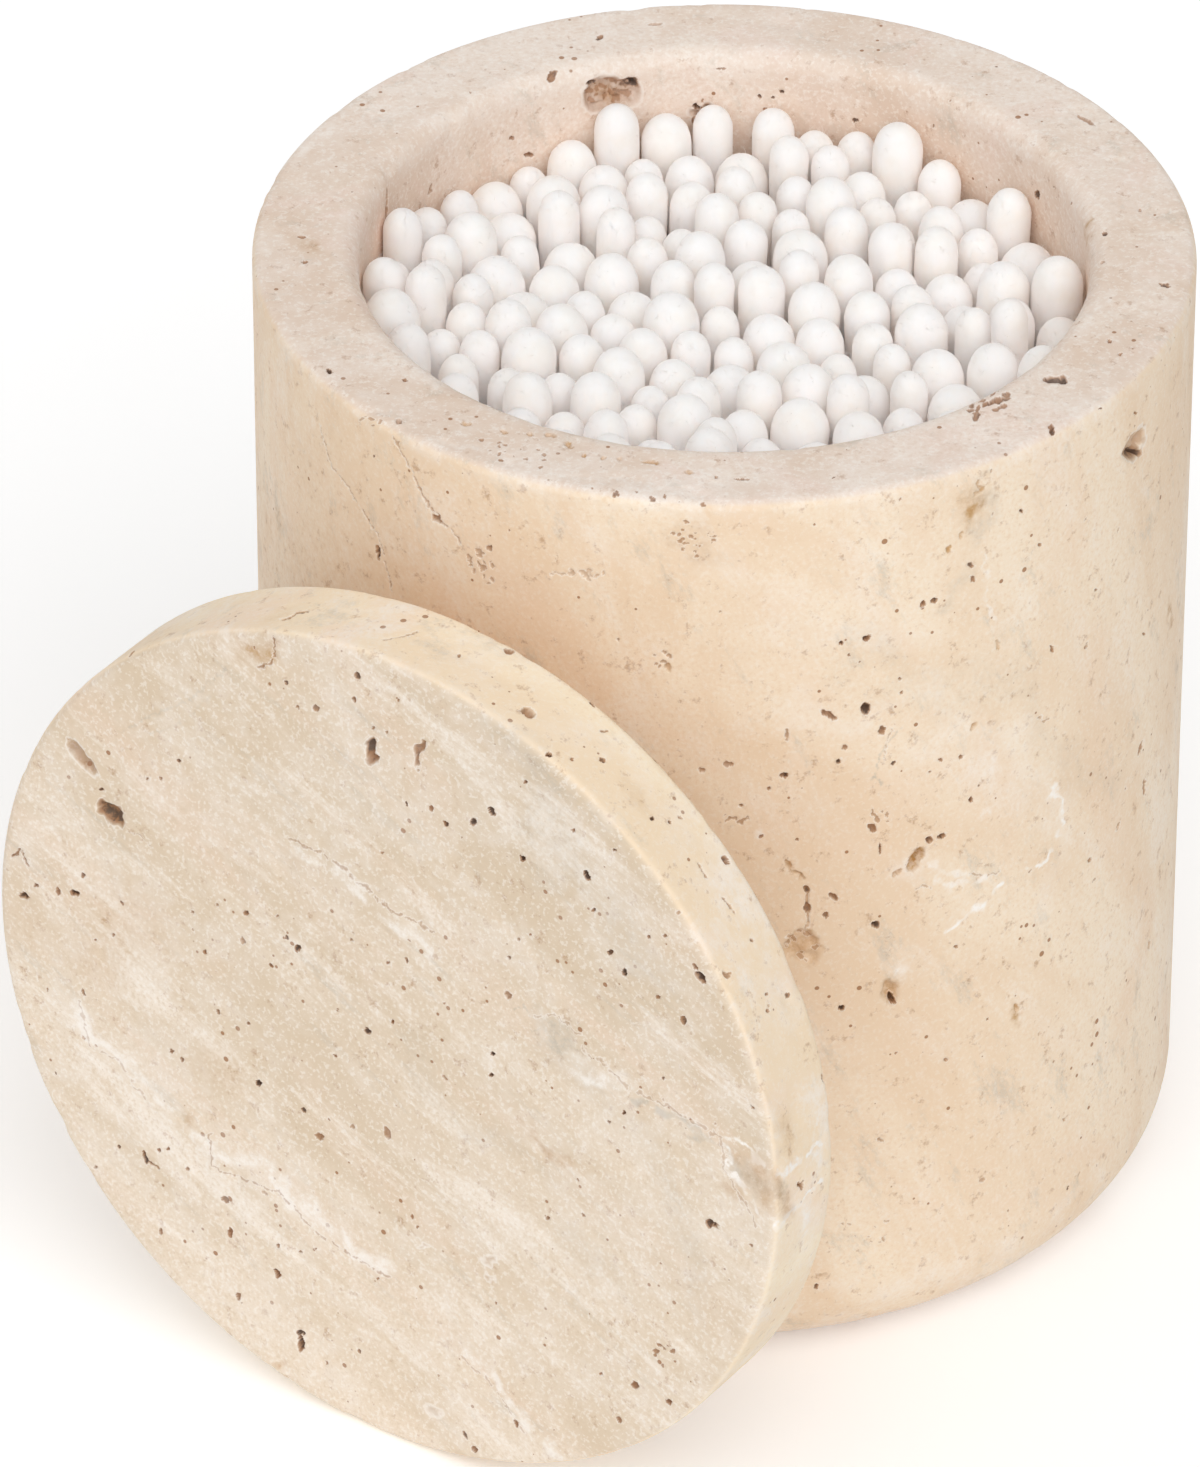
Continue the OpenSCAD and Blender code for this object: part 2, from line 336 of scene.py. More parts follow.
BORE_MARKS: tuple[Mark, ...] = (
    pit(609, 93, 60, 32, -8, 1.2, strength=0.3, ragged=0.35),
    *crumble(609, 93, 50, 26, -8, 22, 6, 0.6),
    stain(609, 96, 52, 26, -8, Tint.OCHRE, 0.45),
    pit(632, 84, 16, 14, 30, 1.7, strength=0.85),
    pit(592, 84, 18, 8, -10, 1.5, strength=0.7),
    pit(706, 124, 50, 32, 80, 1.0, strength=0.3, ragged=0.45),
    *crumble(706, 122, 44, 26, 80, 20, 6, 0.6),
    stain(706, 124, 60, 40, 80, Tint.OCHRE, 0.35),
    pit(705, 141, 16, 12, 60, 1.6, strength=0.75),
    pit(698, 108, 14, 8, 40, 1.3, strength=0.6),
    pit(529, 155, 12, 7, 0, 0.5),
    pit(512, 138, 8, 5, 0, 0.3),
    pit(387, 204, 48, 4, 92, 0.3, strength=0.5),
    pit(392, 239, 15, 10, 80, 0.9, strength=0.9),
    pit(855, 120, 8, 6, 0, 0.3),
    speck(951, 89, 5, 0.6),
    pit(1027, 140, 18, 7, 75, 0.4, strength=0.6),
    crack(((1056, 132), (1063, 143), (1062, 155)), 5, 0.35, 0.5),
    stain(1086, 234, 22, 12, 80, Tint.OCHRE, 0.6),
    pit(1037, 195, 10, 7, 80, 0.5, strength=0.9),
    pit(1056, 158, 9, 5, 60, 0.3),
    speck(759, 96, 5, 0.8),
    speck(773, 98, 4, 0.8),
    speck(782, 92, 4, 0.8),
    pit(721, 69, 14, 3, 0, 0.25, strength=0.5),
    speck(948, 102, 5, 0.5),
    vein(((780, 88), (830, 92), (860, 100)), 2.5, 0.5),
    vein(((700, 92), (780, 99), (850, 110)), 2, 0.35),
)

LID_FACE_MARKS: tuple[Mark, ...] = (
    pit(82, 758, 46, 14, 52, 0.8, strength=0.4),
    speck(101, 790, 5),
    pit(108, 811, 24, 15, 45, 1.1, strength=0.85, ragged=0.45),
    speck(179, 761, 5),
    speck(147, 779, 4, 0.6),
    speck(161, 779, 4, 0.6),
    crack(((128, 832), (141, 836), (152, 848)), 2, 0.08, 0.3),
    crack(((12, 856), (20, 850), (28, 866)), 4, 0.3, 0.6),
    speck(36, 886, 7, 0.8),
    speck(23, 895, 10, 0.9),
    pit(58, 891, 12, 5, 80, 0.4),
    pit(83, 876, 8, 5, 80, 0.3),
    pit(75, 893, 12, 8, 10, 0.6, strength=0.95),
    speck(113, 935, 4, 0.6),
    speck(95, 940, 4, 0.6),
    speck(205, 952, 5),
    speck(192, 912, 4, 0.6),
    speck(217, 905, 4, 0.6),
    speck(246, 913, 7, 0.7),
    pit(298, 949, 11, 7, 80, 0.5, strength=0.9),
    speck(277, 916, 4, 0.6),
    speck(297, 707, 5, 0.6),
    pit(357, 676, 9, 7, 80, 0.5),
    pit(354, 700, 8, 5, 80, 0.4),
    speck(373, 728, 4, 0.6),
    speck(386, 732, 4, 0.6),
    speck(398, 700, 4, 0.5),
    pit(371, 751, 27, 14, 84, 1.0, strength=0.8),
    crack(((420, 744), (414, 754), (418, 770)), 8, 0.5, 0.6),
    pit(431, 808, 9, 6, 80, 0.4),
    pit(446, 824, 8, 5, 80, 0.4, strength=0.9),
    pit(473, 822, 12, 8, 70, 0.6, strength=0.9),
    pit(491, 812, 15, 8, 60, 0.6, strength=0.9),
    speck(523, 859, 8, 1.0),
    pit(586, 875, 12, 7, 70, 0.6, strength=0.95),
    speck(526, 782, 5),
    speck(614, 850, 5),
    speck(573, 831, 5, 0.7),
    speck(593, 910, 5, 0.7),
    pit(610, 952, 9, 7, 0, 0.5, strength=0.9),
    pit(624, 973, 10, 7, 80, 0.5, strength=0.9),
    speck(649, 937, 5, 0.7),
    speck(665, 936, 5, 0.7),
    pit(695, 967, 10, 5, 60, 0.4),
    pit(701, 978, 16, 11, 50, 0.9, strength=1.0),
    pit(683, 1020, 12, 7, 75, 0.5),
    speck(658, 997, 5, 0.7),
    speck(509, 958, 5),
    speck(518, 940, 4, 0.6),
    speck(392, 1022, 6),
    pit(406, 960, 10, 4, 70, 0.3),
    speck(382, 853, 4, 0.6),
    speck(351, 940, 4, 0.6),
    speck(388, 963, 5, 0.7),
    speck(47, 990, 4, 0.6),
    pit(83, 992, 10, 4, 70, 0.3),
    pit(218, 1012, 8, 5, 80, 0.4),
    speck(248, 1023, 5, 0.7),
    pit(368, 1031, 11, 8, 80, 0.6, strength=0.9),
    speck(258, 1083, 7, 1.0),
    speck(171, 1051, 5, 0.7),
    speck(182, 1060, 5, 0.7),
    speck(493, 1054, 5, 1.0),
    speck(491, 1075, 6, 1.0),
    stain(492, 1066, 22, 34, 0, Tint.WHITE, 0.4),
    speck(624, 1113, 5),
    speck(609, 1122, 4, 0.7),
    speck(547, 1218, 6, 0.7),
    speck(583, 1215, 5, 0.7),
    speck(577, 1180, 4, 0.6),
    pit(709, 1224, 11, 11, 0, 0.7, strength=0.9),
    speck(751, 1246, 5, 0.7),
    speck(753, 1108, 4, 0.7),
    speck(663, 1078, 4, 0.7),
    speck(119, 1147, 5, 0.8),
    speck(159, 1150, 5, 0.8),
    speck(168, 1149, 5, 0.8),
    pit(145, 1157, 18, 5, 75, 0.5, strength=0.8),
    crack(((147, 1160), (153, 1164), (160, 1168)), 4, 0.25, 0.6),
    speck(95, 1167, 5, 0.6),
    speck(187, 1169, 5, 0.6),
    pit(224, 1200, 11, 7, 30, 0.4, strength=0.6),
    pit(161, 1232, 8, 6, 80, 0.4, strength=0.6),
    pit(230, 1233, 14, 6, 80, 0.5, strength=0.8),
    speck(278, 1246, 5, 0.6),
    speck(300, 1252, 5, 0.6),
    pit(277, 1274, 14, 7, 75, 0.6, strength=0.9),
    pit(238, 1297, 10, 8, 80, 0.5),
    pit(301, 1343, 24, 8, 85, 0.9, strength=0.9),
    pit(301, 1333, 13, 6, 10, 0.6, strength=0.8),
    speck(378, 1279, 5, 0.6),
    speck(326, 1364, 5, 0.6),
    stain(281, 1366, 16, 12, 0, Tint.OCHRE, 0.6),
    speck(359, 1351, 5, 0.7),
    pit(635, 1385, 10, 8, 0, 0.5, strength=0.8),
    speck(669, 1402, 8, 0.8),
    pit(619, 1420, 9, 6, 75, 0.4),
    *crumble(663, 1355, 30, 20, 20, 9, 4.4, 0.6),
    speck(601, 1374, 5, 0.7),
    pit(516, 1424, 10, 5, 70, 0.4),
    pit(474, 1449, 10, 7, 75, 0.5),
    pit(465, 1435, 12, 4, 60, 0.3),
    # Smudges and pockets
    stain(491, 1261, 18, 14, 0, Tint.BROWN, 0.28),
    stain(489, 1279, 14, 10, 0, Tint.BROWN, 0.22),
    stain(424, 1246, 16, 10, 0, Tint.BROWN, 0.22),
    stain(434, 1412, 22, 12, 30, Tint.BROWN, 0.22),
    stain(254, 651, 50, 40, 40, Tint.OCHRE, 0.6),
    crack(((270, 632), (276, 645), (270, 664), (256, 668)), 3, 0.2, 0.5),
    stain(186, 1121, 26, 16, 40, Tint.OCHRE, 0.35),
    vein(((521, 1125), (542, 1143), (562, 1157)), 18, 0.35, Tint.OCHRE, 0.8),
    vein(((480, 760), (560, 860), (640, 960)), 70, 0.25, Tint.GREY, 0.9),
    vein(((560, 1010), (640, 1130), (700, 1250)), 90, 0.22, Tint.GREY, 0.9),
    vein(((430, 1060), (520, 1190), (600, 1320)), 60, 0.18, Tint.GREY, 0.9),
    vein(((60, 900), (160, 1000), (240, 1100)), 90, 0.16, Tint.OCHRE, 0.9),
    # White bands with thin brown outlines
    vein(((289, 843), (321, 862), (362, 894), (391, 922), (433, 944)), 20, 0.6),
    vein(((289, 838), (305, 846), (321, 854), (345, 870), (362, 884), (391, 911), (412, 920), (433, 932)),
         4, 0.4, Tint.BROWN),
    vein(((83, 1004), (94, 1042), (121, 1055), (139, 1082), (161, 1106), (188, 1130), (212, 1158)), 20, 0.6),
    vein(((212, 1158), (241, 1168), (281, 1182), (313, 1218), (346, 1240), (388, 1266)), 26, 0.65),
    vein(((209, 1132), (212, 1167), (241, 1179), (281, 1193), (313, 1230), (346, 1252), (391, 1278)),
         4, 0.4, Tint.BROWN),
    vein(((79, 1000), (90, 1046), (117, 1060), (135, 1088), (157, 1112)), 4, 0.3, Tint.BROWN),
    vein(((468, 1353), (497, 1377), (512, 1400), (530, 1427), (562, 1456)), 15, 0.6),
    vein(((461, 1357), (490, 1381), (505, 1404), (523, 1431)), 4, 0.3, Tint.BROWN),
    stain(615, 1080, 62, 20, 12, Tint.WHITE, 0.5),
    vein(((512, 1010), (524, 1006), (530, 1016), (540, 1012), (544, 1028), (532, 1031)),
         2.5, 0.45, Tint.GREY),
    vein(((120, 734), (150, 716), (190, 700), (228, 667)), 3, 0.4, Tint.GREY),
    vein(((150, 734), (185, 722), (215, 690)), 2.5, 0.3, Tint.GREY),
    vein(((170, 900), (260, 990), (360, 1080), (470, 1200)), 26, 0.2, Tint.WHITE, 0.9),
    vein(((430, 880), (520, 1000), (600, 1090), (700, 1200)), 22, 0.22, Tint.WHITE, 0.9),
    vein(((300, 690), (380, 790), (470, 880), (540, 960)), 28, 0.18, Tint.WHITE, 0.9),
    vein(((250, 1200), (330, 1290), (430, 1370), (520, 1450)), 24, 0.2, Tint.WHITE, 0.9),
    # Crystal pocket by the right edge
    stain(750, 1182, 84, 36, 58, Tint.OCHRE, 0.45),
    stain(748, 1180, 60, 22, 58, Tint.GREY, 0.8),
    vein(((726, 1139), (728, 1166), (740, 1184), (752, 1200), (762, 1227)), 8, 0.95),
    vein(((726, 1139), (745, 1142), (755, 1156), (766, 1170)), 8, 0.95),
    vein(((720, 1136), (723, 1168), (746, 1204), (756, 1228)), 4, 0.3, Tint.BROWN),
    stain(558, 1036, 54, 36, 30, Tint.GREY, 0.7),
    vein(((536, 1018), (556, 1016), (578, 1034), (584, 1052)), 4, 0.3, Tint.BROWN),
    stain(600, 1078, 90, 26, 18, Tint.WHITE, 0.7),
    vein(((584, 1052), (606, 1066), (630, 1090), (662, 1102), (694, 1122), (722, 1138)), 5, 0.3, Tint.BROWN),
    vein(((622, 1094), (660, 1112), (700, 1136)), 12, 0.6, Tint.GREY),
)

LID_EDGE_MARKS: tuple[Mark, ...] = (
    crack(((284, 621), (297, 613), (308, 611)), 5, 0.4, 0.75),
    crack(((383, 640), (400, 637), (418, 632)), 2.5, 0.2, 0.5),
    speck(459, 655, 5, 0.7),
    pit(530, 712, 15, 12, 0, 0.7, strength=0.6),
    pit(604, 731, 12, 3, 0, 0.25, strength=0.6),
    pit(549, 754, 9, 7, 0, 0.6, strength=1.0),
    speck(572, 759, 5, 0.7),
    speck(604, 761, 5, 0.7),
    speck(653, 819, 6, 1.0),
    speck(670, 822, 5, 0.7),
    pit(726, 860, 14, 8, 60, 0.6),
    crack(((698, 865), (703, 872), (707, 878)), 2.5, 0.15, 0.5),
    pit(677, 912, 13, 10, 40, 0.7, strength=0.6),
    crack(((722, 898), (728, 904), (734, 912)), 3, 0.2, 0.5),
    stain(736, 899, 12, 9, 0, Tint.WHITE, 0.7),
    speck(752, 940, 5, 0.7),
    pit(728, 975, 11, 9, 0, 0.5, strength=0.5),
    speck(767, 994, 5, 0.7),
    speck(768, 1011, 5, 0.7),
    pit(509, 651, 14, 7, 20, 0.5),
    crack(((733, 1328), (739, 1336), (742, 1346)), 4, 0.3, 0.6),
    stain(783, 1196, 44, 30, 80, Tint.OCHRE, 0.45),
    stain(781, 1196, 34, 18, 80, Tint.GREY, 0.7),
    vein(((766, 1170), (784, 1172), (806, 1156), (822, 1142)), 8, 0.95),
    vein(((764, 1228), (782, 1225), (795, 1210), (808, 1194), (820, 1182)), 8, 0.95),
    pit(801, 1186, 11, 8, 60, 0.7, strength=0.85),
    stain(806, 1214, 62, 26, 78, Tint.WHITE, 0.75),
    stain(817, 1160, 40, 14, 88, Tint.WHITE, 0.6),
    vein(((812, 1140), (818, 1122), (820, 1104)), 4, 0.45),
    stain(785, 1130, 70, 24, 75, Tint.OCHRE, 0.25),
    stain(640, 800, 60, 24, 45, Tint.OCHRE, 0.2),
)


# Two pixels on the wall, and two on the lid's face, that lie along the bedding of the stone
JAR_BED = ((760.0, 640.0), (860.0, 800.0))
LID_BED = ((240.0, 900.0), (540.0, 1170.0))


@dataclass(frozen=True)
class PhotoCamera:
    """The camera of the photograph, found from the outlines of the jar and of the lid."""

    wide_px: int = 1200
    tall_px: int = 1467
    focal_px: float = 11607.0
    sensor_mm: float = 36.0
    distance: float = 1.01138
    elevation: float = 34.514
    roll: float = 0.0704
    aim: tuple[float, float, float] = (-0.01048, 0.0, 0.03984)

    def axes(self) -> tuple[np.ndarray, np.ndarray, np.ndarray]:
        """Directions to the right of the picture, up in it and into it.

        Returns:
            Three unit vectors.
        """
        low = np.radians(self.elevation)
        lean = np.radians(self.roll)
        ahead = np.array([0.0, np.cos(low), -np.sin(low)])
        side = np.array([1.0, 0.0, 0.0])
        above = np.cross(side, ahead)
        right = np.cos(lean) * side + np.sin(lean) * above
        up = np.cos(lean) * above - np.sin(lean) * side
        return right, up, ahead

    def place(self) -> np.ndarray:
        """Position of the lens."""
        return np.array(self.aim) - self.axes()[2] * self.distance

    def rays(self, pixels: np.ndarray) -> np.ndarray:
        """Directions of the rays through pixels of the photograph.

        Args:
            pixels: Places in the picture, one row each.

        Returns:
            One direction for each row, not of unit length.
        """
        right, up, ahead = self.axes()
        across = (pixels[:, :1] - self.wide_px / 2) / self.focal_px
        down = (pixels[:, 1:] - self.tall_px / 2) / self.focal_px
        return ahead + across * right - down * up

    def build(self) -> bpy.types.Object:
        """Adds the camera to the scene.

        Returns:
            The camera's object.
        """
        lens = bpy.data.cameras.new("photo_camera")
        lens.sensor_width = self.sensor_mm
        lens.lens = self.focal_px * self.sensor_mm / self.tall_px
        lens.clip_start = 0.01
        camera = bpy.data.objects.new("photo_camera", lens)
        right, up, ahead = self.axes()
        turn = Matrix(np.column_stack([right, up, -ahead]).tolist()).to_4x4()
        camera.matrix_world = Matrix.Translation(Vector(self.place().tolist())) @ turn
        bpy.context.scene.collection.objects.link(camera)
        bpy.context.scene.camera = camera
        return camera


def smooth(values: np.ndarray, low: float, high: float) -> np.ndarray:
    """Rises from 0 at low to 1 at high along a smooth S: t squared times three less two t."""
    t = np.clip((values - low) / (high - low), 0.0, 1.0)
    return t * t * (3.0 - 2.0 * t)


def cloud(points: np.ndarray, scale: float, seed: int) -> np.ndarray:
    """Smooth random values between -1 and 1.

    Random numbers stand at the corners of a lattice of cubes, and a place gets the mean of its cube's
    eight corners, weighted by an S curve along each side.

    Args:
        points: Places, one row each.
        scale: Side of the lattice's cubes.
        seed: Seed of the numbers.

    Returns:
        One value for each place.
    """
    side = 32
    table = np.random.default_rng(seed).random((side, side, side)) * 2 - 1
    q = points / scale
    low = np.floor(q).astype(int)
    share = q - low
    share = share * share * (3 - 2 * share)
    total = np.zeros(len(points))
    for corner in np.ndindex(2, 2, 2):
        step = np.array(corner)
        weight = np.prod(np.where(step, share, 1 - share), axis=1)
        cell = (low + step) % side
        total += weight * table[cell[:, 0], cell[:, 1], cell[:, 2]]
    return total


@dataclass
class Places:
    """Points kept in order of height, so that those near a place are found quickly."""

    points: np.ndarray
    order: np.ndarray = field(init=False)
    heights: np.ndarray = field(init=False)

    def __post_init__(self) -> None:
        """Sorts the points by height."""
        self.order = np.argsort(self.points[:, 2])
        self.heights = self.points[self.order, 2]

    def near(self, middle: np.ndarray, radius: float) -> np.ndarray:
        """Numbers of the points inside a ball.

        Args:
            middle: Middle of the ball.
            radius: Radius of the ball.

        Returns:
            The numbers of the points.
        """
        low, high = np.searchsorted(self.heights, [middle[2] - radius, middle[2] + radius])
        part = self.order[low:high]
        gap = self.points[part] - middle
        return part[np.einsum("ij,ij->i", gap, gap) < radius ** 2]


@dataclass
class Patch:
    """A mark in its place on the stone: a chain of points with a width, or an ellipse."""

    mark: Mark
    chain: np.ndarray
    along: np.ndarray
    across: np.ndarray
    half: float
    seed: int
    middle: np.ndarray = field(init=False)
    reach: float = field(init=False)

    def __post_init__(self) -> None:
        """Works out the ball that holds the mark."""
        self.middle = self.chain.mean(axis=0)
        spread = np.linalg.norm(self.chain - self.middle, axis=1).max()
        self.reach = spread + 1.9 * max(np.linalg.norm(self.along), np.linalg.norm(self.across), self.half)

    def near(self, places: Places, margin: float = 0.0) -> np.ndarray:
        """Numbers of the places inside the mark's ball, widened by margin."""
        return places.near(self.middle, self.reach + margin)

    def share(self, points: np.ndarray) -> np.ndarray:
        """How far out in the mark each point is: 0 in its middle, 1 on its outline.

        For an ellipse it is the length of the point's two coordinates along its half axes. For a chain
        it is the distance to the nearest piece of the chain over the half width.

        Args:
            points: Places on the stone.

        Returns:
            One number for each place.
        """
        if len(self.chain) == 1:
            gap = points - self.middle
            normal = np.cross(self.along, self.across)
            scale = np.dot(normal, normal)
            u = gap @ np.cross(self.across, normal) / scale
            v = gap @ np.cross(normal, self.along) / scale
            w = gap @ normal / scale * np.sqrt(scale) / self.half
            return np.sqrt(u * u + v * v + 0.15 * w * w)
        best = np.full(len(points), np.inf)
        for start, end in zip(self.chain[:-1], self.chain[1:]):
            way = end - start
            t = np.clip((points - start) @ way / (way @ way), 0.0, 1.0)
            gap = points - start - t[:, None] * way
            best = np.minimum(best, np.einsum("ij,ij->i", gap, gap))
        return np.sqrt(best) / self.half

    def ragged_share(self, points: np.ndarray) -> np.ndarray:
        """The share of each point, after the points are shaken by a cloud so that outlines are ragged."""
        size = max(self.half, 0.12 * MM)
        coarse = size * (1.1 if len(self.chain) == 1 else 3.0)
        rough = self.mark.ragged * size
        shake = np.column_stack([cloud(points, coarse, self.seed + k) for k in range(3)])
        fine = np.column_stack([cloud(points, coarse * 0.4, self.seed + k + 5) for k in range(3)])
        return self.share(points + rough * (shake + 0.5 * fine) * 1.3)


@dataclass(frozen=True)
class Rest:
    """Where a turned block lies: the place of its origin and the directions of its axes."""

    origin: tuple[float, float, float] = (0.0, 0.0, 0.0)
    axes: tuple[tuple[float, float, float], ...] = ((1.0, 0.0, 0.0), (0.0, 1.0, 0.0), (0.0, 0.0, 1.0))

    def out(self, points: np.ndarray) -> np.ndarray:
        """Points of the block in the world: the origin plus each coordinate along its axis."""
        return np.array(self.origin) + points @ np.array(self.axes)

    def turned(self, vectors: np.ndarray) -> np.ndarray:
        """Directions of the block in the world."""
        return vectors @ np.array(self.axes)

    def back(self, points: np.ndarray) -> np.ndarray:
        """Points of the world in the block."""
        return (points - np.array(self.origin)) @ np.array(self.axes).T


@dataclass
class Grain:
    """How fine the triangles of a turned skin are.

    coarse is the longest edge on plain stone, times slack, and edge the longest on rounded edges. In a
    mark it is share_of_half of the mark's half width, between least and most (most_flat where the mark
    has no depth), and it grows by growth for each metre away from the mark. bend is the turn of the
    outline in radians from one first row to the next.
    """

    coarse: float = 2.4 * MM
    slack: float = 1.5
    edge: float = 0.95 * MM
    least: float = 0.17 * MM
    most: float = 0.5 * MM
    most_flat: float = 1.4 * MM
    share_of_half: float = 0.55
    growth: float = 1.15
    bend: float = 0.3
    rounds: int = 6


@dataclass
class TurnedSkin:
    """A closed skin: an outline turned round the axis, refined and pressed in by its marks.

    outline holds radius and height along the outline, from one pole to the other. A vertex is a length
    along the outline and a direction round the axis, so that a new one in the middle of an edge lies
    on the turned surface too.
    """

    outline: np.ndarray
    rest: Rest
    columns: int
    grain: Grain
    length: np.ndarray = field(init=False)
    normals: np.ndarray = field(init=False)

    def __post_init__(self) -> None:
        """Works out the length along the outline and its outward normals."""
        steps = np.linalg.norm(np.diff(self.outline, axis=0), axis=1)
        self.length = np.concatenate([[0.0], np.cumsum(steps)])
        slope = np.gradient(self.outline, self.length, axis=0)
        normal = np.column_stack([slope[:, 1], -slope[:, 0]])
        self.normals = normal / np.linalg.norm(normal, axis=1)[:, None]

    def local(self, s: np.ndarray, way: np.ndarray) -> np.ndarray:
        """Places of vertices in the block: the outline's radius along the direction, and its height."""
        radius = np.interp(s, self.length, self.outline[:, 0])
        height = np.interp(s, self.length, self.outline[:, 1])
        return np.column_stack([radius[:, None] * way, height])

    def outward(self, s: np.ndarray, way: np.ndarray) -> np.ndarray:
        """Outward directions at vertices, in the world."""
        side = np.interp(s, self.length, self.normals[:, 0])
        top = np.interp(s, self.length, self.normals[:, 1])
        normal = np.column_stack([side[:, None] * way, top])
        return self.rest.turned(normal / np.maximum(np.linalg.norm(normal, axis=1), 1e-9)[:, None])

    def rows(self) -> np.ndarray:
        """Lengths along the outline at which the first rows of vertices stand.

        Returns:
            Rising lengths, close together where the outline bends.
        """
        turn = np.linalg.norm(np.diff(self.normals, axis=0), axis=1)
        pace = np.diff(self.length) / self.grain.coarse + turn / self.grain.bend
        walk = np.concatenate([[0.0], np.cumsum(pace)])
        count = int(np.ceil(walk[-1]))
        return np.interp(np.linspace(0, walk[-1], count + 1), walk, self.length)

    def first_grid(self) -> tuple[np.ndarray, np.ndarray, np.ndarray]:
        """The skin before refining: rows of vertices between two poles.

        Returns:
            Length along the outline and direction of each vertex, and the triangles.
        """
        rows = self.rows()[1:-1]
        angle = np.linspace(0, 2 * np.pi, self.columns, endpoint=False)
        ring = np.column_stack([np.cos(angle), np.sin(angle)])
        s = np.concatenate([[0.0], np.repeat(rows, self.columns), [self.length[-1]]])
        way = np.vstack([[[0.0, 0.0]], np.tile(ring, (len(rows), 1)), [[0.0, 0.0]]])
        return s, way, woven(len(rows), self.columns)

    def wanted(self, points: np.ndarray, s: np.ndarray, patches: Sequence[Patch]) -> np.ndarray:
        """Longest edge that is wanted at each place: fine in and near the marks and the worn edges.

        Args:
            points: Places on the skin.
            s: Their lengths along the outline.
            patches: The marks.

        Returns:
            One length for each place.
        """
        grain = self.grain
        places = Places(points)
        best = np.where(self.edge_share(s) > 0.05, grain.edge, grain.slack * grain.coarse)
        for patch in patches:
            most = grain.most if patch.mark.deep > 0 else grain.most_flat
            fine = float(np.clip(grain.share_of_half * patch.half, grain.least, most))
            margin = (grain.coarse - fine) / grain.growth
            near = patch.near(places, margin)
            if len(near):
                gap = (patch.share(points[near]) - 1.3) * patch.half
                best[near] = np.minimum(best[near], fine + grain.growth * np.maximum(gap, 0.0))
        return best

    def edge_share(self, s: np.ndarray) -> np.ndarray:
        """1 on the rounded edges of the outline, 0 a short way from them."""
        turn = np.linalg.norm(np.diff(self.normals, axis=0), axis=1) / np.maximum(np.diff(self.length), 1e-9)
        bent = np.concatenate([[0.0], (turn > EDGE_BEND).astype(float)])
        places = np.linspace(0, self.length[-1], 4000)
        share = np.interp(places, self.length, bent)
        width = max(int(EDGE_WEAR / (places[1] - places[0])), 1)
        kernel = np.ones(2 * width + 1) / (2 * width + 1)
        return np.interp(s, places, np.clip(2.0 * np.convolve(share, kernel, mode="same"), 0, 1))

    def refine(self, patches: Sequence[Patch]) -> tuple[np.ndarray, np.ndarray, np.ndarray]:
        """Splits every edge that is longer than wanted in two, in a few rounds.

        A triangle with one split edge becomes two, with two split edges three, and with three four, so
        neighbours always share whole edges.

        Args:
            patches: The marks.

        Returns:
            Length along the outline and direction of each vertex, and the triangles.
        """
        s, way, tris = self.first_grid()
        for _ in range(self.grain.rounds):
            ends = np.sort(tris[:, [[0, 1], [1, 2], [2, 0]]].reshape(-1, 2), axis=1)
            key, back = np.unique(ends[:, 0] * len(s) + ends[:, 1], return_inverse=True)
            a = key // len(s)
            b = key % len(s)
            points = self.rest.out(self.local(s, way))
            size = np.linalg.norm(points[a] - points[b], axis=1)
            check = np.flatnonzero(size > self.grain.least)
            middle = (points[a[check]] + points[b[check]]) / 2
            limit = self.wanted(middle, (s[a[check]] + s[b[check]]) / 2, patches)
            cut = check[size[check] > limit]
            if not len(cut):
                break
            fresh = np.full(len(key), -1)
            fresh[cut] = len(s) + np.arange(len(cut))
            new_way = way[a[cut]] + way[b[cut]]
            new_way /= np.maximum(np.linalg.norm(new_way, axis=1), 1e-12)[:, None]
            s = np.concatenate([s, (s[a[cut]] + s[b[cut]]) / 2])
            way = np.vstack([way, new_way])
            tris = split_triangles(tris, fresh[back.reshape(-1, 3)])
        return s, way, tris

    def cut_share(self, s: np.ndarray, inner: float) -> np.ndarray:
        """1 on level faces and inside the radius inner, 0 on the round side."""
        top = np.abs(np.interp(s, self.length, self.normals[:, 1]))
        radius = np.interp(s, self.length, self.outline[:, 0])
        return np.maximum(smooth(top, 0.5, 0.9), smooth(-radius, -inner - 0.3 * MM, -inner))

    def dress(self, name: str, patches: Sequence[Patch], chips: float, inner: float,
              frost: float) -> bpy.types.Object:
        """Makes the skin's object, pressed in along its normals by the marks and by wear on its edges.

        Args:
            name: Name of the piece.
            patches: The marks.
            chips: Depth of the wear on the edges.
            inner: Radius inside which the stone has the tone of its cut faces.
            frost: Share of white on the worn edges.

        Returns:
            The piece, with one attribute for each tint.
        """
        s, way, tris = self.refine(patches)
        points = self.rest.out(self.local(s, way))
        sunk = np.zeros(len(points))
        tints = {tint: np.zeros(len(points)) for tint in Tint}
        speckle = smooth(cloud(points, 0.8 * MM, 93) + cloud(points, 3.5 * MM, 94), -0.6, 0.8)
        tints[Tint.WHITE] += self.edge_share(s) * speckle * frost
        worn = np.maximum(cloud(points, 2.6 * MM, 91) + 0.5 * cloud(points, 0.9 * MM, 92) - 0.25, 0.0)
        sunk += self.edge_share(s) * worn * chips
        places = Places(points)
        for patch in patches:
            near = patch.near(places)
            if not len(near):
                continue
            share = patch.ragged_share(points[near])
            mark = patch.mark
            if mark.deep > 0:
                floor = 0.8 + 0.2 * cloud(points[near], 0.35 * MM, patch.seed + 9)
                hollow = (1 - smooth(share, PIT_BOTTOM, 1.0)) * floor * mark.deep * MM
                sunk[near] = np.maximum(sunk[near], hollow)
            fade = smooth(share, TINT_END - mark.soft, TINT_END + mark.soft * 0.2)
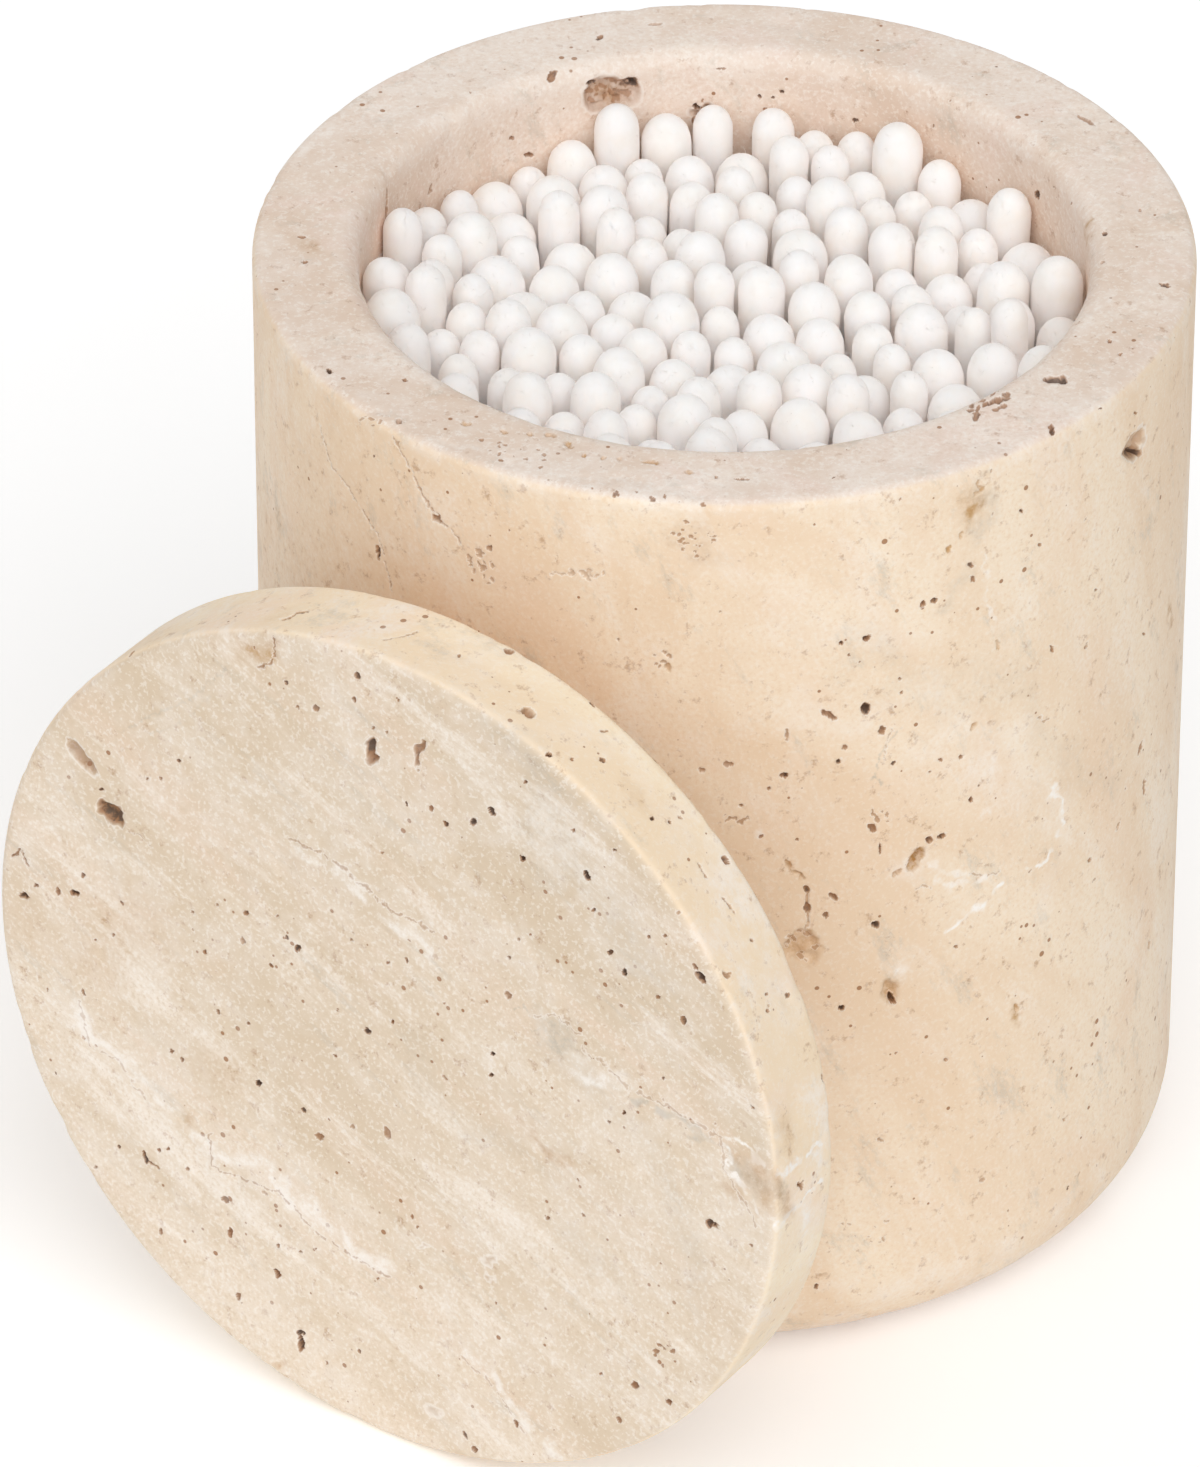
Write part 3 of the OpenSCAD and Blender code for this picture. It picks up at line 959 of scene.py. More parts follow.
            amount = mark.strength * (1 - fade)
            tints[mark.tint][near] = np.maximum(tints[mark.tint][near], amount)
        points = points - self.outward(s, way) * sunk[:, None]
        skin = put_mesh(name, points, tris)
        layers = {tint.value: values for tint, values in tints.items()}
        layers[ZONE] = self.cut_share(s, inner)
        for layer_name, values in layers.items():
            layer = skin.data.attributes.new(layer_name, "FLOAT", "POINT")
            layer.data.foreach_set("value", values.astype(np.float32))
        LOG.info("%s: %d triangles", name, len(tris))
        return skin


def woven(rows: int, columns: int) -> np.ndarray:
    """Triangles between rings of vertices that stand in rows between two poles.

    Vertex 0 is the first pole, the rings follow, and the last vertex is the other pole.

    Args:
        rows: Number of rings.
        columns: Vertices in a ring.

    Returns:
        A fan at each pole and two triangles for each cell between the rings.
    """
    column = np.arange(columns)
    after = (column + 1) % columns
    row = 1 + np.arange(rows - 1)[:, None] * columns
    low = row + column
    right = row + after
    one = np.stack([low, right, right + columns], axis=-1).reshape(-1, 3)
    two = np.stack([low, right + columns, low + columns], axis=-1).reshape(-1, 3)
    start = np.column_stack([np.zeros(columns, int), 1 + after, 1 + column])
    shift = (rows - 1) * columns
    last = np.full(columns, rows * columns + 1)
    end = np.column_stack([last, 1 + column + shift, 1 + after + shift])
    return np.vstack([start, one, two, end])


def repeated(faces: np.ndarray, count: int, size: int) -> np.ndarray:
    """The faces of count equal bodies of size vertices each, from those of the first."""
    return (faces[None] + np.arange(count)[:, None, None] * size).reshape(-1, 3)


def split_triangles(tris: np.ndarray, cuts: np.ndarray) -> np.ndarray:
    """Splits triangles at the middles of their cut edges.

    Args:
        tris: Three vertices a row.
        cuts: For the edges from the first to the second vertex, on to the third and back, the number
            of the new vertex, or -1 where the edge stays whole.

    Returns:
        The new triangles.
    """
    count = (cuts >= 0).sum(axis=1)
    done = [tris[count == 0]]
    for number in (1, 2):
        part = tris[count == number]
        cut = cuts[count == number]
        lead = np.argmax(cut >= 0, axis=1) if number == 1 else (np.argmin(cut >= 0, axis=1) + 1) % 3
        order = (lead[:, None] + np.arange(3)) % 3
        v = np.take_along_axis(part, order, axis=1)
        m = np.take_along_axis(cut, order, axis=1)
        if number == 1:
            done.append(np.column_stack([v[:, 0], m[:, 0], v[:, 2]]))
            done.append(np.column_stack([m[:, 0], v[:, 1], v[:, 2]]))
        else:
            done.append(np.column_stack([m[:, 0], v[:, 1], m[:, 1]]))
            done.append(np.column_stack([v[:, 0], m[:, 0], m[:, 1]]))
            done.append(np.column_stack([v[:, 0], m[:, 1], v[:, 2]]))
    v = tris[count == 3]
    m = cuts[count == 3]
    done.append(m)
    done.append(np.column_stack([v[:, 0], m[:, 0], m[:, 2]]))
    done.append(np.column_stack([m[:, 0], v[:, 1], m[:, 1]]))
    done.append(np.column_stack([m[:, 2], m[:, 1], v[:, 2]]))
    return np.vstack(done)


def put_mesh(name: str, points: np.ndarray, faces: np.ndarray) -> bpy.types.Object:
    """Makes an object at the origin from arrays of vertices and faces, shaded smooth.

    Args:
        name: Name of the object and its mesh.
        points: Vertices in metres.
        faces: Numbers of the vertices of each face.

    Returns:
        The new object, linked to the scene.
    """
    mesh = bpy.data.meshes.new(name)
    mesh.from_pydata(points.tolist(), [], faces.tolist())
    mesh.polygons.foreach_set("use_smooth", np.ones(len(mesh.polygons), bool))
    mesh.update()
    piece = bpy.data.objects.new(name, mesh)
    bpy.context.scene.collection.objects.link(piece)
    return piece


def paint(code: str) -> tuple[float, float, float, float]:
    """Colour of a six-figure code, in the linear values that the nodes take.

    Args:
        code: Red, green and blue as two hexadecimal figures each.

    Returns:
        Red, green, blue and 1.
    """
    raw = np.array([int(code[k:k + 2], 16) for k in (0, 2, 4)]) / 255
    linear = np.where(raw <= 0.04045, raw / 12.92, ((raw + 0.055) / 1.055) ** 2.4)
    return (*linear.tolist(), 1.0)


@dataclass
class Nodes:
    """A tree of nodes, which are added and wired in one call each."""

    tree: bpy.types.NodeTree

    def add(self, kind: str, inputs: dict | None = None, **setup: object) -> bpy.types.Node:
        """Adds a node.

        Args:
            kind: Blender's name of the node.
            inputs: Values or outputs for its sockets, by name or number.
            setup: Values of its own settings.

        Returns:
            The node.
        """
        node = self.tree.nodes.new(kind)
        for key, value in setup.items():
            setattr(node, key, value)
        for key, value in (inputs or {}).items():
            self.feed(node.inputs[key], value)
        return node

    def feed(self, socket: bpy.types.NodeSocket, value: object) -> None:
        """Wires an output to a socket, or sets the socket to a value."""
        if isinstance(value, bpy.types.NodeSocket):
            self.tree.links.new(value, socket)
        else:
            socket.default_value = value

    def place(self, turn: tuple[float, float, float] = (0.0, 0.0, 0.0),
              scale: tuple[float, float, float] = (1.0, 1.0, 1.0)) -> bpy.types.NodeSocket:
        """Object coordinates, turned by angles in degrees and then scaled."""
        spot = self.add("ShaderNodeTexCoord").outputs["Object"]
        angles = tuple(np.radians(turn).tolist())
        turned = self.add("ShaderNodeMapping", {"Vector": spot, "Rotation": angles})
        return self.add("ShaderNodeMapping", {"Vector": turned.outputs[0], "Scale": scale}).outputs[0]

    def noise(self, where: bpy.types.NodeSocket, scale: float, detail: float = 4.0, rough: float = 0.55,
              swirl: float = 0.0) -> bpy.types.NodeSocket:
        """Cloudy values around one half."""
        sockets = {"Vector": where, "Scale": scale, "Detail": detail, "Roughness": rough, "Distortion": swirl}
        return self.add("ShaderNodeTexNoise", sockets).outputs[0]

    def ramp(self, value: object, low: float, high: float, start: float = 0.0,
             end: float = 1.0) -> bpy.types.NodeSocket:
        """Carries low to start and high to end along an S."""
        sockets = {"Value": value, "From Min": low, "From Max": high, "To Min": start, "To Max": end}
        return self.add("ShaderNodeMapRange", sockets, interpolation_type="SMOOTHSTEP").outputs[0]

    def math(self, kind: str, one: object, two: object = 0.0) -> bpy.types.NodeSocket:
        """A sum, product or other operation on two numbers."""
        return self.add("ShaderNodeMath", {0: one, 1: two}, operation=kind).outputs[0]

    def mix(self, share: object, one: object, two: object, kind: str = "MIX") -> bpy.types.NodeSocket:
        """A mixture of two colours."""
        node = self.add("ShaderNodeMix", {0: share, 6: one, 7: two}, data_type="RGBA", blend_type=kind)
        return node.outputs[2]

    def layer(self, name: str) -> bpy.types.NodeSocket:
        """Values of an attribute of the mesh."""
        return self.add("ShaderNodeAttribute", attribute_name=name).outputs["Fac"]


class Surface(Nodes):
    """The nodes of a new material, which starts with its output and its shader."""

    def __init__(self, name: str) -> None:
        """Starts the material."""
        self.material = bpy.data.materials.new(name)
        self.material.use_nodes = True
        super().__init__(self.material.node_tree)
        self.tree.nodes.clear()
        self.shader = self.add("ShaderNodeBsdfPrincipled")
        self.add("ShaderNodeOutputMaterial", {"Surface": self.shader.outputs[0]})

    def coat(self, **values: object) -> None:
        """Wires or sets the shader's sockets, by their names with _ for each space."""
        for name, value in values.items():
            self.feed(self.shader.inputs[name.replace("_", " ")], value)

    def relief(self, height: bpy.types.NodeSocket, strength: float, depth: float) -> None:
        """Adds fine relief: bump of a strength between 0 and 1 and a depth in metres."""
        bump = self.add("ShaderNodeBump", {"Height": height, "Strength": strength, "Distance": depth})
        self.coat(Normal=bump.outputs[0])


@dataclass(frozen=True)
class Travertine:
    """Honed travertine: clouds and bands of cream and beige, pinholes, and the tints of its marks.

    The round side and the cut faces have their own three tones, and turn and stretch lay the clouds
    along the bedding of the stone.
    """

    name: str
    turn: tuple[float, float, float]
    side: tuple[str, str, str] = ("f4e2ca", "ebd1b3", "efd6bb")
    cut: tuple[str, str, str] = ("eedfd2", "e3cdba", "ecd6c8")
    pale: str = "f7ecdf"
    brown: str = "9c683a"
    # Painted shade: the dark tone at the bottoms of the strongest hollows.
    umber_painted_shade: str = "4a2a13"
    ochre: str = "bd9159"
    white: str = "fbf5ee"
    grey: str = "c3b8a8"
    pore: str = "a87646"
    stretch: tuple[float, float, float] = (0.4, 1.0, 1.0)
    band_share: float = 0.35
    rough: float = 0.62
    relief: float = 0.6
    relief_depth: float = 0.07 * MM

    def build(self) -> bpy.types.Material:
        """Makes the material.

        Returns:
            The material, on Object coordinates and the attributes of the tints.
        """
        n = Surface(self.name)
        where = n.place(self.turn, self.stretch)
        plain = n.place()
        zone = n.layer(ZONE)
        light, dark, blush = (n.mix(zone, paint(one), paint(two)) for one, two in zip(self.side, self.cut))
        wide = n.noise(where, 45.0, 4.0, 0.6, 0.8)
        colour = n.mix(n.ramp(wide, 0.38, 0.64), light, dark)
        pinkish = n.noise(where, 80.0, 3.0, 0.6, 1.2)
        colour = n.mix(n.ramp(pinkish, 0.5, 0.7, 0.0, 0.75), colour, blush)
        band = n.noise(where, 150.0, 6.0, 0.72, 0.5)
        colour = n.mix(n.ramp(band, 0.5, 0.66, 0.0, self.band_share), colour, paint(self.pale))
        dusk = n.noise(where, 260.0, 6.0, 0.74)
        colour = n.mix(n.ramp(dusk, 0.55, 0.72, 0.0, 0.5), colour, paint(self.grey))
        fleck = n.noise(plain, 700.0, 4.0, 0.74)
        colour = n.mix(n.ramp(fleck, 0.57, 0.72, 0.0, 0.5), colour, paint(self.pore))
        grit = n.noise(plain, 2600.0, 2.0, 0.6)
        chalk = n.math("MULTIPLY", n.ramp(grit, 0.52, 0.66, 0.0, 0.24), n.ramp(zone, 0.0, 1.0, 0.8, 1.6))
        colour = n.mix(chalk, colour, paint(self.white))
        colour = n.mix(n.ramp(grit, 0.3, 0.48, 0.6, 0.0), colour, dark)
        colour = n.mix(self.pinholes(n, plain), colour, paint(self.brown))
        for tint, code in ((Tint.GREY, self.grey), (Tint.WHITE, self.white), (Tint.OCHRE, self.ochre)):
            colour = n.mix(self.broken(n, tint, fleck), colour, paint(code))
        colour = self.hollows(n, fleck, colour)
        rough = n.ramp(fleck, 0.3, 0.7, self.rough - 0.08, self.rough + 0.1)
        n.coat(Base_Color=colour, Roughness=rough, Specular_IOR_Level=0.35)
        n.relief(n.noise(plain, 1300.0, 3.0, 0.65), self.relief, self.relief_depth)
        return n.material

    def broken(self, n: Surface, tint: Tint, cloud_value: bpy.types.NodeSocket) -> bpy.types.NodeSocket:
        """A tint's attribute, broken up by small clouds so that it isn't even."""
        loss = n.ramp(cloud_value, 0.4, 0.6, 0.5, 1.2)
        return n.math("MINIMUM", n.math("MULTIPLY", n.layer(tint.value), loss), 1.0)

    def hollows(self, n: Surface, cloud_value: bpy.types.NodeSocket,
                colour: bpy.types.NodeSocket) -> bpy.types.NodeSocket:
        """Colours the hollows: a pale rim that is a painted highlight, warm brown inside it, and dark umber
        at the bottom that is painted shade.

        Args:
            n: The material's nodes.
            cloud_value: Small clouds that shift the painted shade at the bottom about.
            colour: The stone's colour so far.

        Returns:
            The colour with the hollows.
        """
        deep = n.layer(Tint.BROWN.value)
        # Painted highlight: a pale ring just inside the outline of each brown hollow.
        rim = n.math("MULTIPLY", n.ramp(deep, 0.01, 0.06), n.ramp(deep, 0.08, 0.25, 0.5, 0.0))
        colour = n.mix(rim, colour, paint(self.white))
        # Painted shade: the middles of the strongest hollows turn dark umber, as if shade falls in them.
        floor = n.math("ADD", deep, n.ramp(cloud_value, 0.35, 0.65, -0.22, 0.22))
        tone = n.mix(n.ramp(floor, 0.6, 0.95), paint(self.brown), paint(self.umber_painted_shade))
        share = n.math("ADD", n.ramp(deep, 0.1, 0.6, 0.0, 0.4), n.math("MULTIPLY", deep, 0.55))
        return n.mix(share, colour, tone)

    def pinholes(self, n: Surface, where: bpy.types.NodeSocket) -> bpy.types.NodeSocket:
        """Pinholes: round spots at random places, only where a wide cloud allows them.

        Args:
            n: The material's nodes.
            where: Object coordinates.

        Returns:
            1 in a pinhole, 0 outside.
        """
        cells = n.add("ShaderNodeTexVoronoi", {"Vector": where, "Scale": 620.0}).outputs["Distance"]
        spread = n.ramp(n.noise(where, 110.0, 3.0, 0.65), 0.42, 0.7, -0.02, 0.17)
        return n.ramp(n.math("SUBTRACT", cells, spread), -0.02, 0.02, 0.85, 0.0)


@dataclass(frozen=True)
class CottonFibre:
    """Wound cotton: bright, soft and matt, with fine strands."""

    name: str
    light: str = "fef9f6"
    dark: str = "fbf3ee"
    strand_scale: float = 900.0
    strand_relief: float = 0.6
    strand_depth: float = 0.06 * MM
    glow: float = 0.9
    glow_depth: float = 3.0 * MM
    glow_reach: tuple[float, float, float] = (1.0, 0.9, 0.85)
    sheen: float = 0.5
    sheen_tint: str = "fff8f4"

    def build(self) -> bpy.types.Material:
        """Makes the material.

        Returns:
            The material, on Object coordinates.
        """
        n = Surface(self.name)
        strands = n.noise(n.place(scale=(1.0, 1.0, 0.35)), self.strand_scale, 5.0, 0.65, 1.5)
        clumps = n.noise(n.place(), 320.0, 3.0)
        colour = n.mix(n.ramp(clumps, 0.4, 0.7), paint(self.light), paint(self.dark))
        n.coat(Base_Color=colour, Roughness=0.95, Specular_IOR_Level=0.1, Sheen_Weight=self.sheen,
               Sheen_Roughness=0.6, Sheen_Tint=paint(self.sheen_tint), Subsurface_Weight=self.glow,
               Subsurface_Radius=self.glow_reach, Subsurface_Scale=self.glow_depth)
        n.relief(strands, self.strand_relief, self.strand_depth)
        return n.material


@dataclass(frozen=True)
class RolledPaper:
    """Rolled paper of the sticks: off-white, with the faint wrap of the paper along it."""

    name: str
    light: str = "f2ece2"
    dark: str = "e4dccf"
    pulp_relief: float = 0.4
    pulp_depth: float = 0.03 * MM

    def build(self) -> bpy.types.Material:
        """Makes the material.

        Returns:
            The material, on Object coordinates.
        """
        n = Surface(self.name)
        wrap = n.noise(n.place(turn=(24.0, 0.0, 0.0), scale=(1.0, 1.0, 0.2)), 1200.0, 4.0, 0.6)
        pulp = n.noise(n.place(), 2200.0, 3.0)
        colour = n.mix(n.ramp(wrap, 0.4, 0.7), paint(self.light), paint(self.dark))
        n.coat(Base_Color=colour, Roughness=0.8, Specular_IOR_Level=0.2)
        n.relief(pulp, self.pulp_relief, self.pulp_depth)
        return n.material


def arc(centre: tuple[float, float], radius: float, start: float, end: float, steps: int = 12) -> np.ndarray:
    """Points of a circle's arc: the centre plus the radius along each angle.

    Args:
        centre: Radius and height of the centre.
        radius: Radius of the arc.
        start: First angle in degrees, 0 outwards and 90 up.
        end: Last angle in degrees.
        steps: Number of pieces.

    Returns:
        One row for each point.
    """
    angle = np.radians(np.linspace(start, end, steps + 1))
    return np.array(centre) + radius * np.column_stack([np.cos(angle), np.sin(angle)])


def firm(points: np.ndarray) -> np.ndarray:
    """An outline without doubled points, with points close to the ends of every long straight piece.

    Args:
        points: Radius and height along the outline.

    Returns:
        The longer outline.
    """
    keep = np.concatenate([[True], np.linalg.norm(np.diff(points, axis=0), axis=1) > 1e-7])
    points = points[keep]
    close = 0.08 * MM
    way = np.diff(points, axis=0)
    size = np.linalg.norm(way, axis=1)[:, None]
    near = np.where(size > 6 * close, points[:-1] + way / size * close, np.nan)
    far = np.where(size > 6 * close, points[1:] - way / size * close, np.nan)
    woven = np.stack([points[:-1], near, far], axis=1).reshape(-1, 2)
    return np.vstack([woven[~np.isnan(woven[:, 0])], points[-1:]])


@dataclass
class StoneBlock:
    """What the jar and the lid share: their marks are carried from the photograph onto the stone.

    A pore less than small_px tall is drawn slimmer by the share slimmer, since its dark rim widens it
    in the picture. Strewn pores are at least pore_mm in half width, and few come near pore_mm plus
    pore_spread_mm. chips is the depth of the wear on the edges, frost the share of white there.
    """

    camera: PhotoCamera
    rest: Rest
    small_px: float = 12.0
    slimmer: float = 0.82
    pore_mm: float = 0.1
    pore_spread_mm: float = 0.34
    columns: int = 108
    chips: float = 0.2 * MM
    frost: float = 0.28

    def land(self, pixels: np.ndarray, face: Face) -> np.ndarray:
        """Points of a face that the camera sees at pixels.

        On a flat face it is where the ray meets the plane. On a round one it is the nearer or farther
        crossing of the ray with the cylinder.

        Args:
            pixels: Places in the photograph, one row each.
            face: The face.

        Returns:
            Points in the world, one row each.
        """
        start = self.rest.back(self.camera.place()[None, :])[0]
        ways = self.camera.rays(pixels) @ np.array(self.rest.axes).T
        flat, size, far = self.shape_of(face)
        if flat:
            t = (size - start[2]) / ways[:, 2]
        else:
            a = ways[:, 0] ** 2 + ways[:, 1] ** 2
            b = ways[:, 0] * start[0] + ways[:, 1] * start[1]
            c = start[0] ** 2 + start[1] ** 2 - size ** 2
            root = np.sqrt(np.maximum(b * b - a * c, 0.0))
            t = (-b + root) / a if far else (-b - root) / a
        return self.rest.out(start + t[:, None] * ways)

    def shape_of(self, face: Face) -> tuple[bool, float, bool]:
        """Whether a face is flat, its height or radius, and whether its far side is seen."""
        raise NotImplementedError

    def patches(self, marks: Sequence[Mark], face: Face, seed: int) -> list[Patch]:
        """Carries marks onto a face.

        Args:
            marks: Marks by their pixels.
            face: The face that they are on.
            seed: First seed of their outlines.

        Returns:
            The marks in their places.
        """
        scale = self.camera.distance / self.camera.focal_px
        done = []
        for number, mark in enumerate(marks):
            chain = self.land(np.array(mark.path, float), face)
            slant = np.radians(mark.turn)
            slim = self.slimmer if 0 < mark.tall < self.small_px and mark.deep > 0 else 1.0
            long = np.array([np.cos(slant), np.sin(slant)]) * mark.wide / 2 * slim
            short = np.array([-np.sin(slant), np.cos(slant)]) * (mark.tall or mark.wide) / 2 * slim
            first = np.array(mark.path[0], float)
            ends = self.land(np.array([first + long, first - long, first + short, first - short]), face)
            along = shortened((ends[0] - ends[1]) / 2, mark.wide * scale)
            across = shortened((ends[2] - ends[3]) / 2, (mark.tall or mark.wide) * scale)
            half = mark.wide / 2 * scale
            if len(chain) == 1:
                half = min(np.linalg.norm(along), np.linalg.norm(across))
            done.append(Patch(mark, chain, along, across, float(half), seed + 11 * number))
        return done

    def strewn(self, skin: TurnedSkin, count: int, lengths: tuple[float, float], seed: int) -> list[Patch]:
        """Small pores at random places between two lengths along the outline.

        Args:
            skin: The skin that they are on.
            count: Number of pores.
            lengths: Where along the outline they begin and end.
            seed: Seed of the places.

        Returns:
            The pores in their places.
        """
        dice = np.random.default_rng(seed)
        s = dice.uniform(*lengths, count)
        angle = dice.uniform(0, 2 * np.pi, count)
        way = np.column_stack([np.cos(angle), np.sin(angle)])
        middle = skin.rest.out(skin.local(s, way))
        normal = skin.outward(s, way)
        round_about = skin.rest.turned(np.column_stack([-way[:, 1], way[:, 0], np.zeros(count)]))
        up = np.cross(normal, round_about)
        size = (self.pore_mm + self.pore_spread_mm * dice.random(count) ** 4) * MM
        slim = dice.uniform(1.0, 2.2, count)
        slant = dice.normal(0.9, 0.5, count)[:, None]
        along = (round_about * np.cos(slant) + up * np.sin(slant)) * (size * slim)[:, None]
        across = (up * np.cos(slant) - round_about * np.sin(slant)) * size[:, None]
        deep = size / MM * 1.1
        strength = dice.uniform(0.35, 0.9, count)
        done = []
        for k in range(count):
            mark = Mark(((0.0, 0.0),), 1.0, 1.0, 0.0, float(deep[k]), Tint.BROWN, float(strength[k]),
                        ragged=0.35)
            done.append(Patch(mark, middle[k:k + 1], along[k], across[k], float(size[k]), seed + 13 * k))
        return done


def laid_along(along: np.ndarray, normal: np.ndarray) -> tuple[float, float, float]:
    """Angles that turn a direction onto X and a direction square to it onto Z.

    Args:
        along: The direction for X.
        normal: The direction for Z.

    Returns:
        Three angles in degrees.
    """
    first = along / np.linalg.norm(along)
    third = normal - first * (normal @ first)
    third /= np.linalg.norm(third)
    turn = Matrix([first.tolist(), np.cross(third, first).tolist(), third.tolist()]).to_euler("XYZ")
    return tuple(np.degrees(list(turn)).tolist())


def shortened(vector: np.ndarray, longest: float) -> np.ndarray:
    """The vector, no longer than longest."""
    size = np.linalg.norm(vector)
    return vector * min(1.0, longest / max(size, 1e-9))


@dataclass
class StoneJar(StoneBlock):
    """The jar: a round block with a rounded foot and a plain bore.

    lip_wear and bore_wear are how far along the outline from the wall's top the pores of the rim and of
    the bore are strewn.
    """

    radius: float = 40.0 * MM
    height: float = 90.2 * MM
    bore: float = 31.0 * MM
    floor: float = 8.6 * MM
    foot_round: float = 9.2 * MM
    rim_round: float = 0.9 * MM
    lip_round: float = 1.8 * MM
    well_round: float = 1.6 * MM
    lip_wear: float = 9.0 * MM
    bore_wear: float = 60.0 * MM

    def shape_of(self, face: Face) -> tuple[bool, float, bool]:
        """Whether a face is flat, its height or radius, and whether its far side is seen."""
        shapes = {Face.WALL: (False, self.radius, False), Face.RIM: (True, self.height, False),
                  Face.BORE: (False, self.bore, True)}
        return shapes[face]

    def outline(self) -> np.ndarray:
        """Radius and height from the middle of the base, up the wall, over the rim and down the bore.

        Returns:
            One row for each point.
        """
        foot = arc((self.radius - self.foot_round, self.foot_round), self.foot_round, -90, 0, 24)
        rim = arc((self.radius - self.rim_round, self.height - self.rim_round), self.rim_round, 0, 90, 8)
        lip = arc((self.bore + self.lip_round, self.height - self.lip_round), self.lip_round, 90, 180, 10)
        well = arc((self.bore - self.well_round, self.floor + self.well_round), self.well_round, 0, -90, 8)
        poles = np.array([[0.0, 0.0], [0.0, self.floor]])
        return firm(np.vstack([poles[:1], foot, rim, lip, well, poles[1:]]))

    def build(self) -> bpy.types.Object:
        """Makes the jar with its marks.

        Returns:
            The piece.
        """
        skin = TurnedSkin(self.outline(), self.rest, self.columns, Grain())
        wall = (self.radius, self.radius + self.height)
        patches = self.patches(WALL_MARKS, Face.WALL, 1000)
        patches += self.patches(RIM_MARKS, Face.RIM, 5000)
        patches += self.patches(BORE_MARKS, Face.BORE, 7000)
        patches += self.strewn(skin, 140, wall, 31)
        patches += self.strewn(skin, 20, (wall[1], wall[1] + self.lip_wear), 32)
        patches += self.strewn(skin, 44, (wall[1] + self.lip_wear, wall[1] + self.bore_wear), 33)
        return skin.dress("travertine_jar", patches, self.chips, self.bore + self.lip_round, self.frost)


@dataclass
class StoneLid(StoneBlock):
    """The lid: a disc with a plug on its underside, on edge against the jar.

    heart is the radius in the middle of its face where no pores are strewn.
    """

    radius: float = 39.7 * MM
    thick: float = 8.8 * MM
    edge_round: float = 0.8 * MM
    plug: float = 30.3 * MM
    plug_height: float = 5.9 * MM
    plug_round: float = 0.8 * MM
    heart: float = 4.0 * MM
    frost: float = 0.25

    def shape_of(self, face: Face) -> tuple[bool, float, bool]:
        """Whether a face is flat, its height or radius, and whether its far side is seen."""
        shapes = {Face.LID_FACE: (True, self.thick, False), Face.LID_EDGE: (False, self.radius, False)}
        return shapes[face]

    def outline(self) -> np.ndarray:
        """Radius and height from the middle of the plug, round the disc and to the middle of the face.

        Returns:
            One row for each point.
        """
        edge = self.edge_round
        centre = (self.plug - self.plug_round, self.plug_round - self.plug_height)
        plug = arc(centre, self.plug_round, -90, 0, 6)
        low = arc((self.radius - edge, edge), edge, -90, 0, 8)
        high = arc((self.radius - edge, self.thick - edge), edge, 0, 90, 8)
        ends = np.array([[0.0, -self.plug_height], [self.plug, 0.0], [0.0, self.thick]])
        return firm(np.vstack([ends[:1], plug, ends[1:2], low, high, ends[2:]]))

    def build(self) -> bpy.types.Object:
        """Makes the lid with its marks.

        Returns:
            The piece.
        """
        skin = TurnedSkin(self.outline(), self.rest, self.columns, Grain())
        total = float(skin.length[-1])
        patches = self.patches(LID_FACE_MARKS, Face.LID_FACE, 11000)
        patches += self.patches(LID_EDGE_MARKS, Face.LID_EDGE, 15000)
        patches += self.strewn(skin, 60, (0.0, total - self.radius), 41)
        patches += self.strewn(skin, 40, (total - self.radius, total - self.heart), 42)
        return skin.dress("travertine_lid", patches, self.chips, 0.0, self.frost)


def lid_rest(turn: float = -34.0, lean: float = 1.0, slide: float = 2.6 * MM, gap: float = 0.3 * MM) -> Rest:
    """Where the leaning lid lies, from the same values as in the source of the solids.

    Args:
        turn: Direction that the lid faces, in degrees from the front.
        lean: Backward lean in degrees.
        slide: Sideways offset from the middle of the jar.
        gap: Gap between the plug's edge and the jar.

    Returns:
        The lid's place. Its local origin is in the middle of the disc's underside.
    """
    jar = StoneJar(PhotoCamera(), Rest())
    lid = StoneLid(PhotoCamera(), Rest())
    c = np.cos(np.radians(lean))
    s = np.sin(np.radians(lean))
    middle = (lid.radius - lid.edge_round) * c + lid.edge_round + (lid.thick - lid.edge_round) * s
    touch = np.sqrt(lid.plug ** 2 - slide ** 2) - lid.plug_round
    reach = jar.radius + gap + lid.plug_round + (lid.thick + lid.plug_height - lid.plug_round) * c + touch * s
    az = np.radians(turn)
    about = np.array([[np.cos(az), np.sin(az), 0.0], [-np.sin(az), np.cos(az), 0.0], [0.0, 0.0, 1.0]])
    tip = np.array([[1.0, 0.0, 0.0], [0.0, s, c], [0.0, -c, s]])
    axes = tip @ about
    face = np.array([slide, -reach, middle]) @ about
    origin = face - axes[2] * lid.thick
    return Rest(tuple(origin.tolist()), tuple(tuple(row) for row in axes.tolist()))


@dataclass(frozen=True)
class Bud:
    """One cotton tip: its nose, the direction from the nose along the stick, its radius and length."""

    nose: np.ndarray
    way: np.ndarray
    radius: float
    length: float


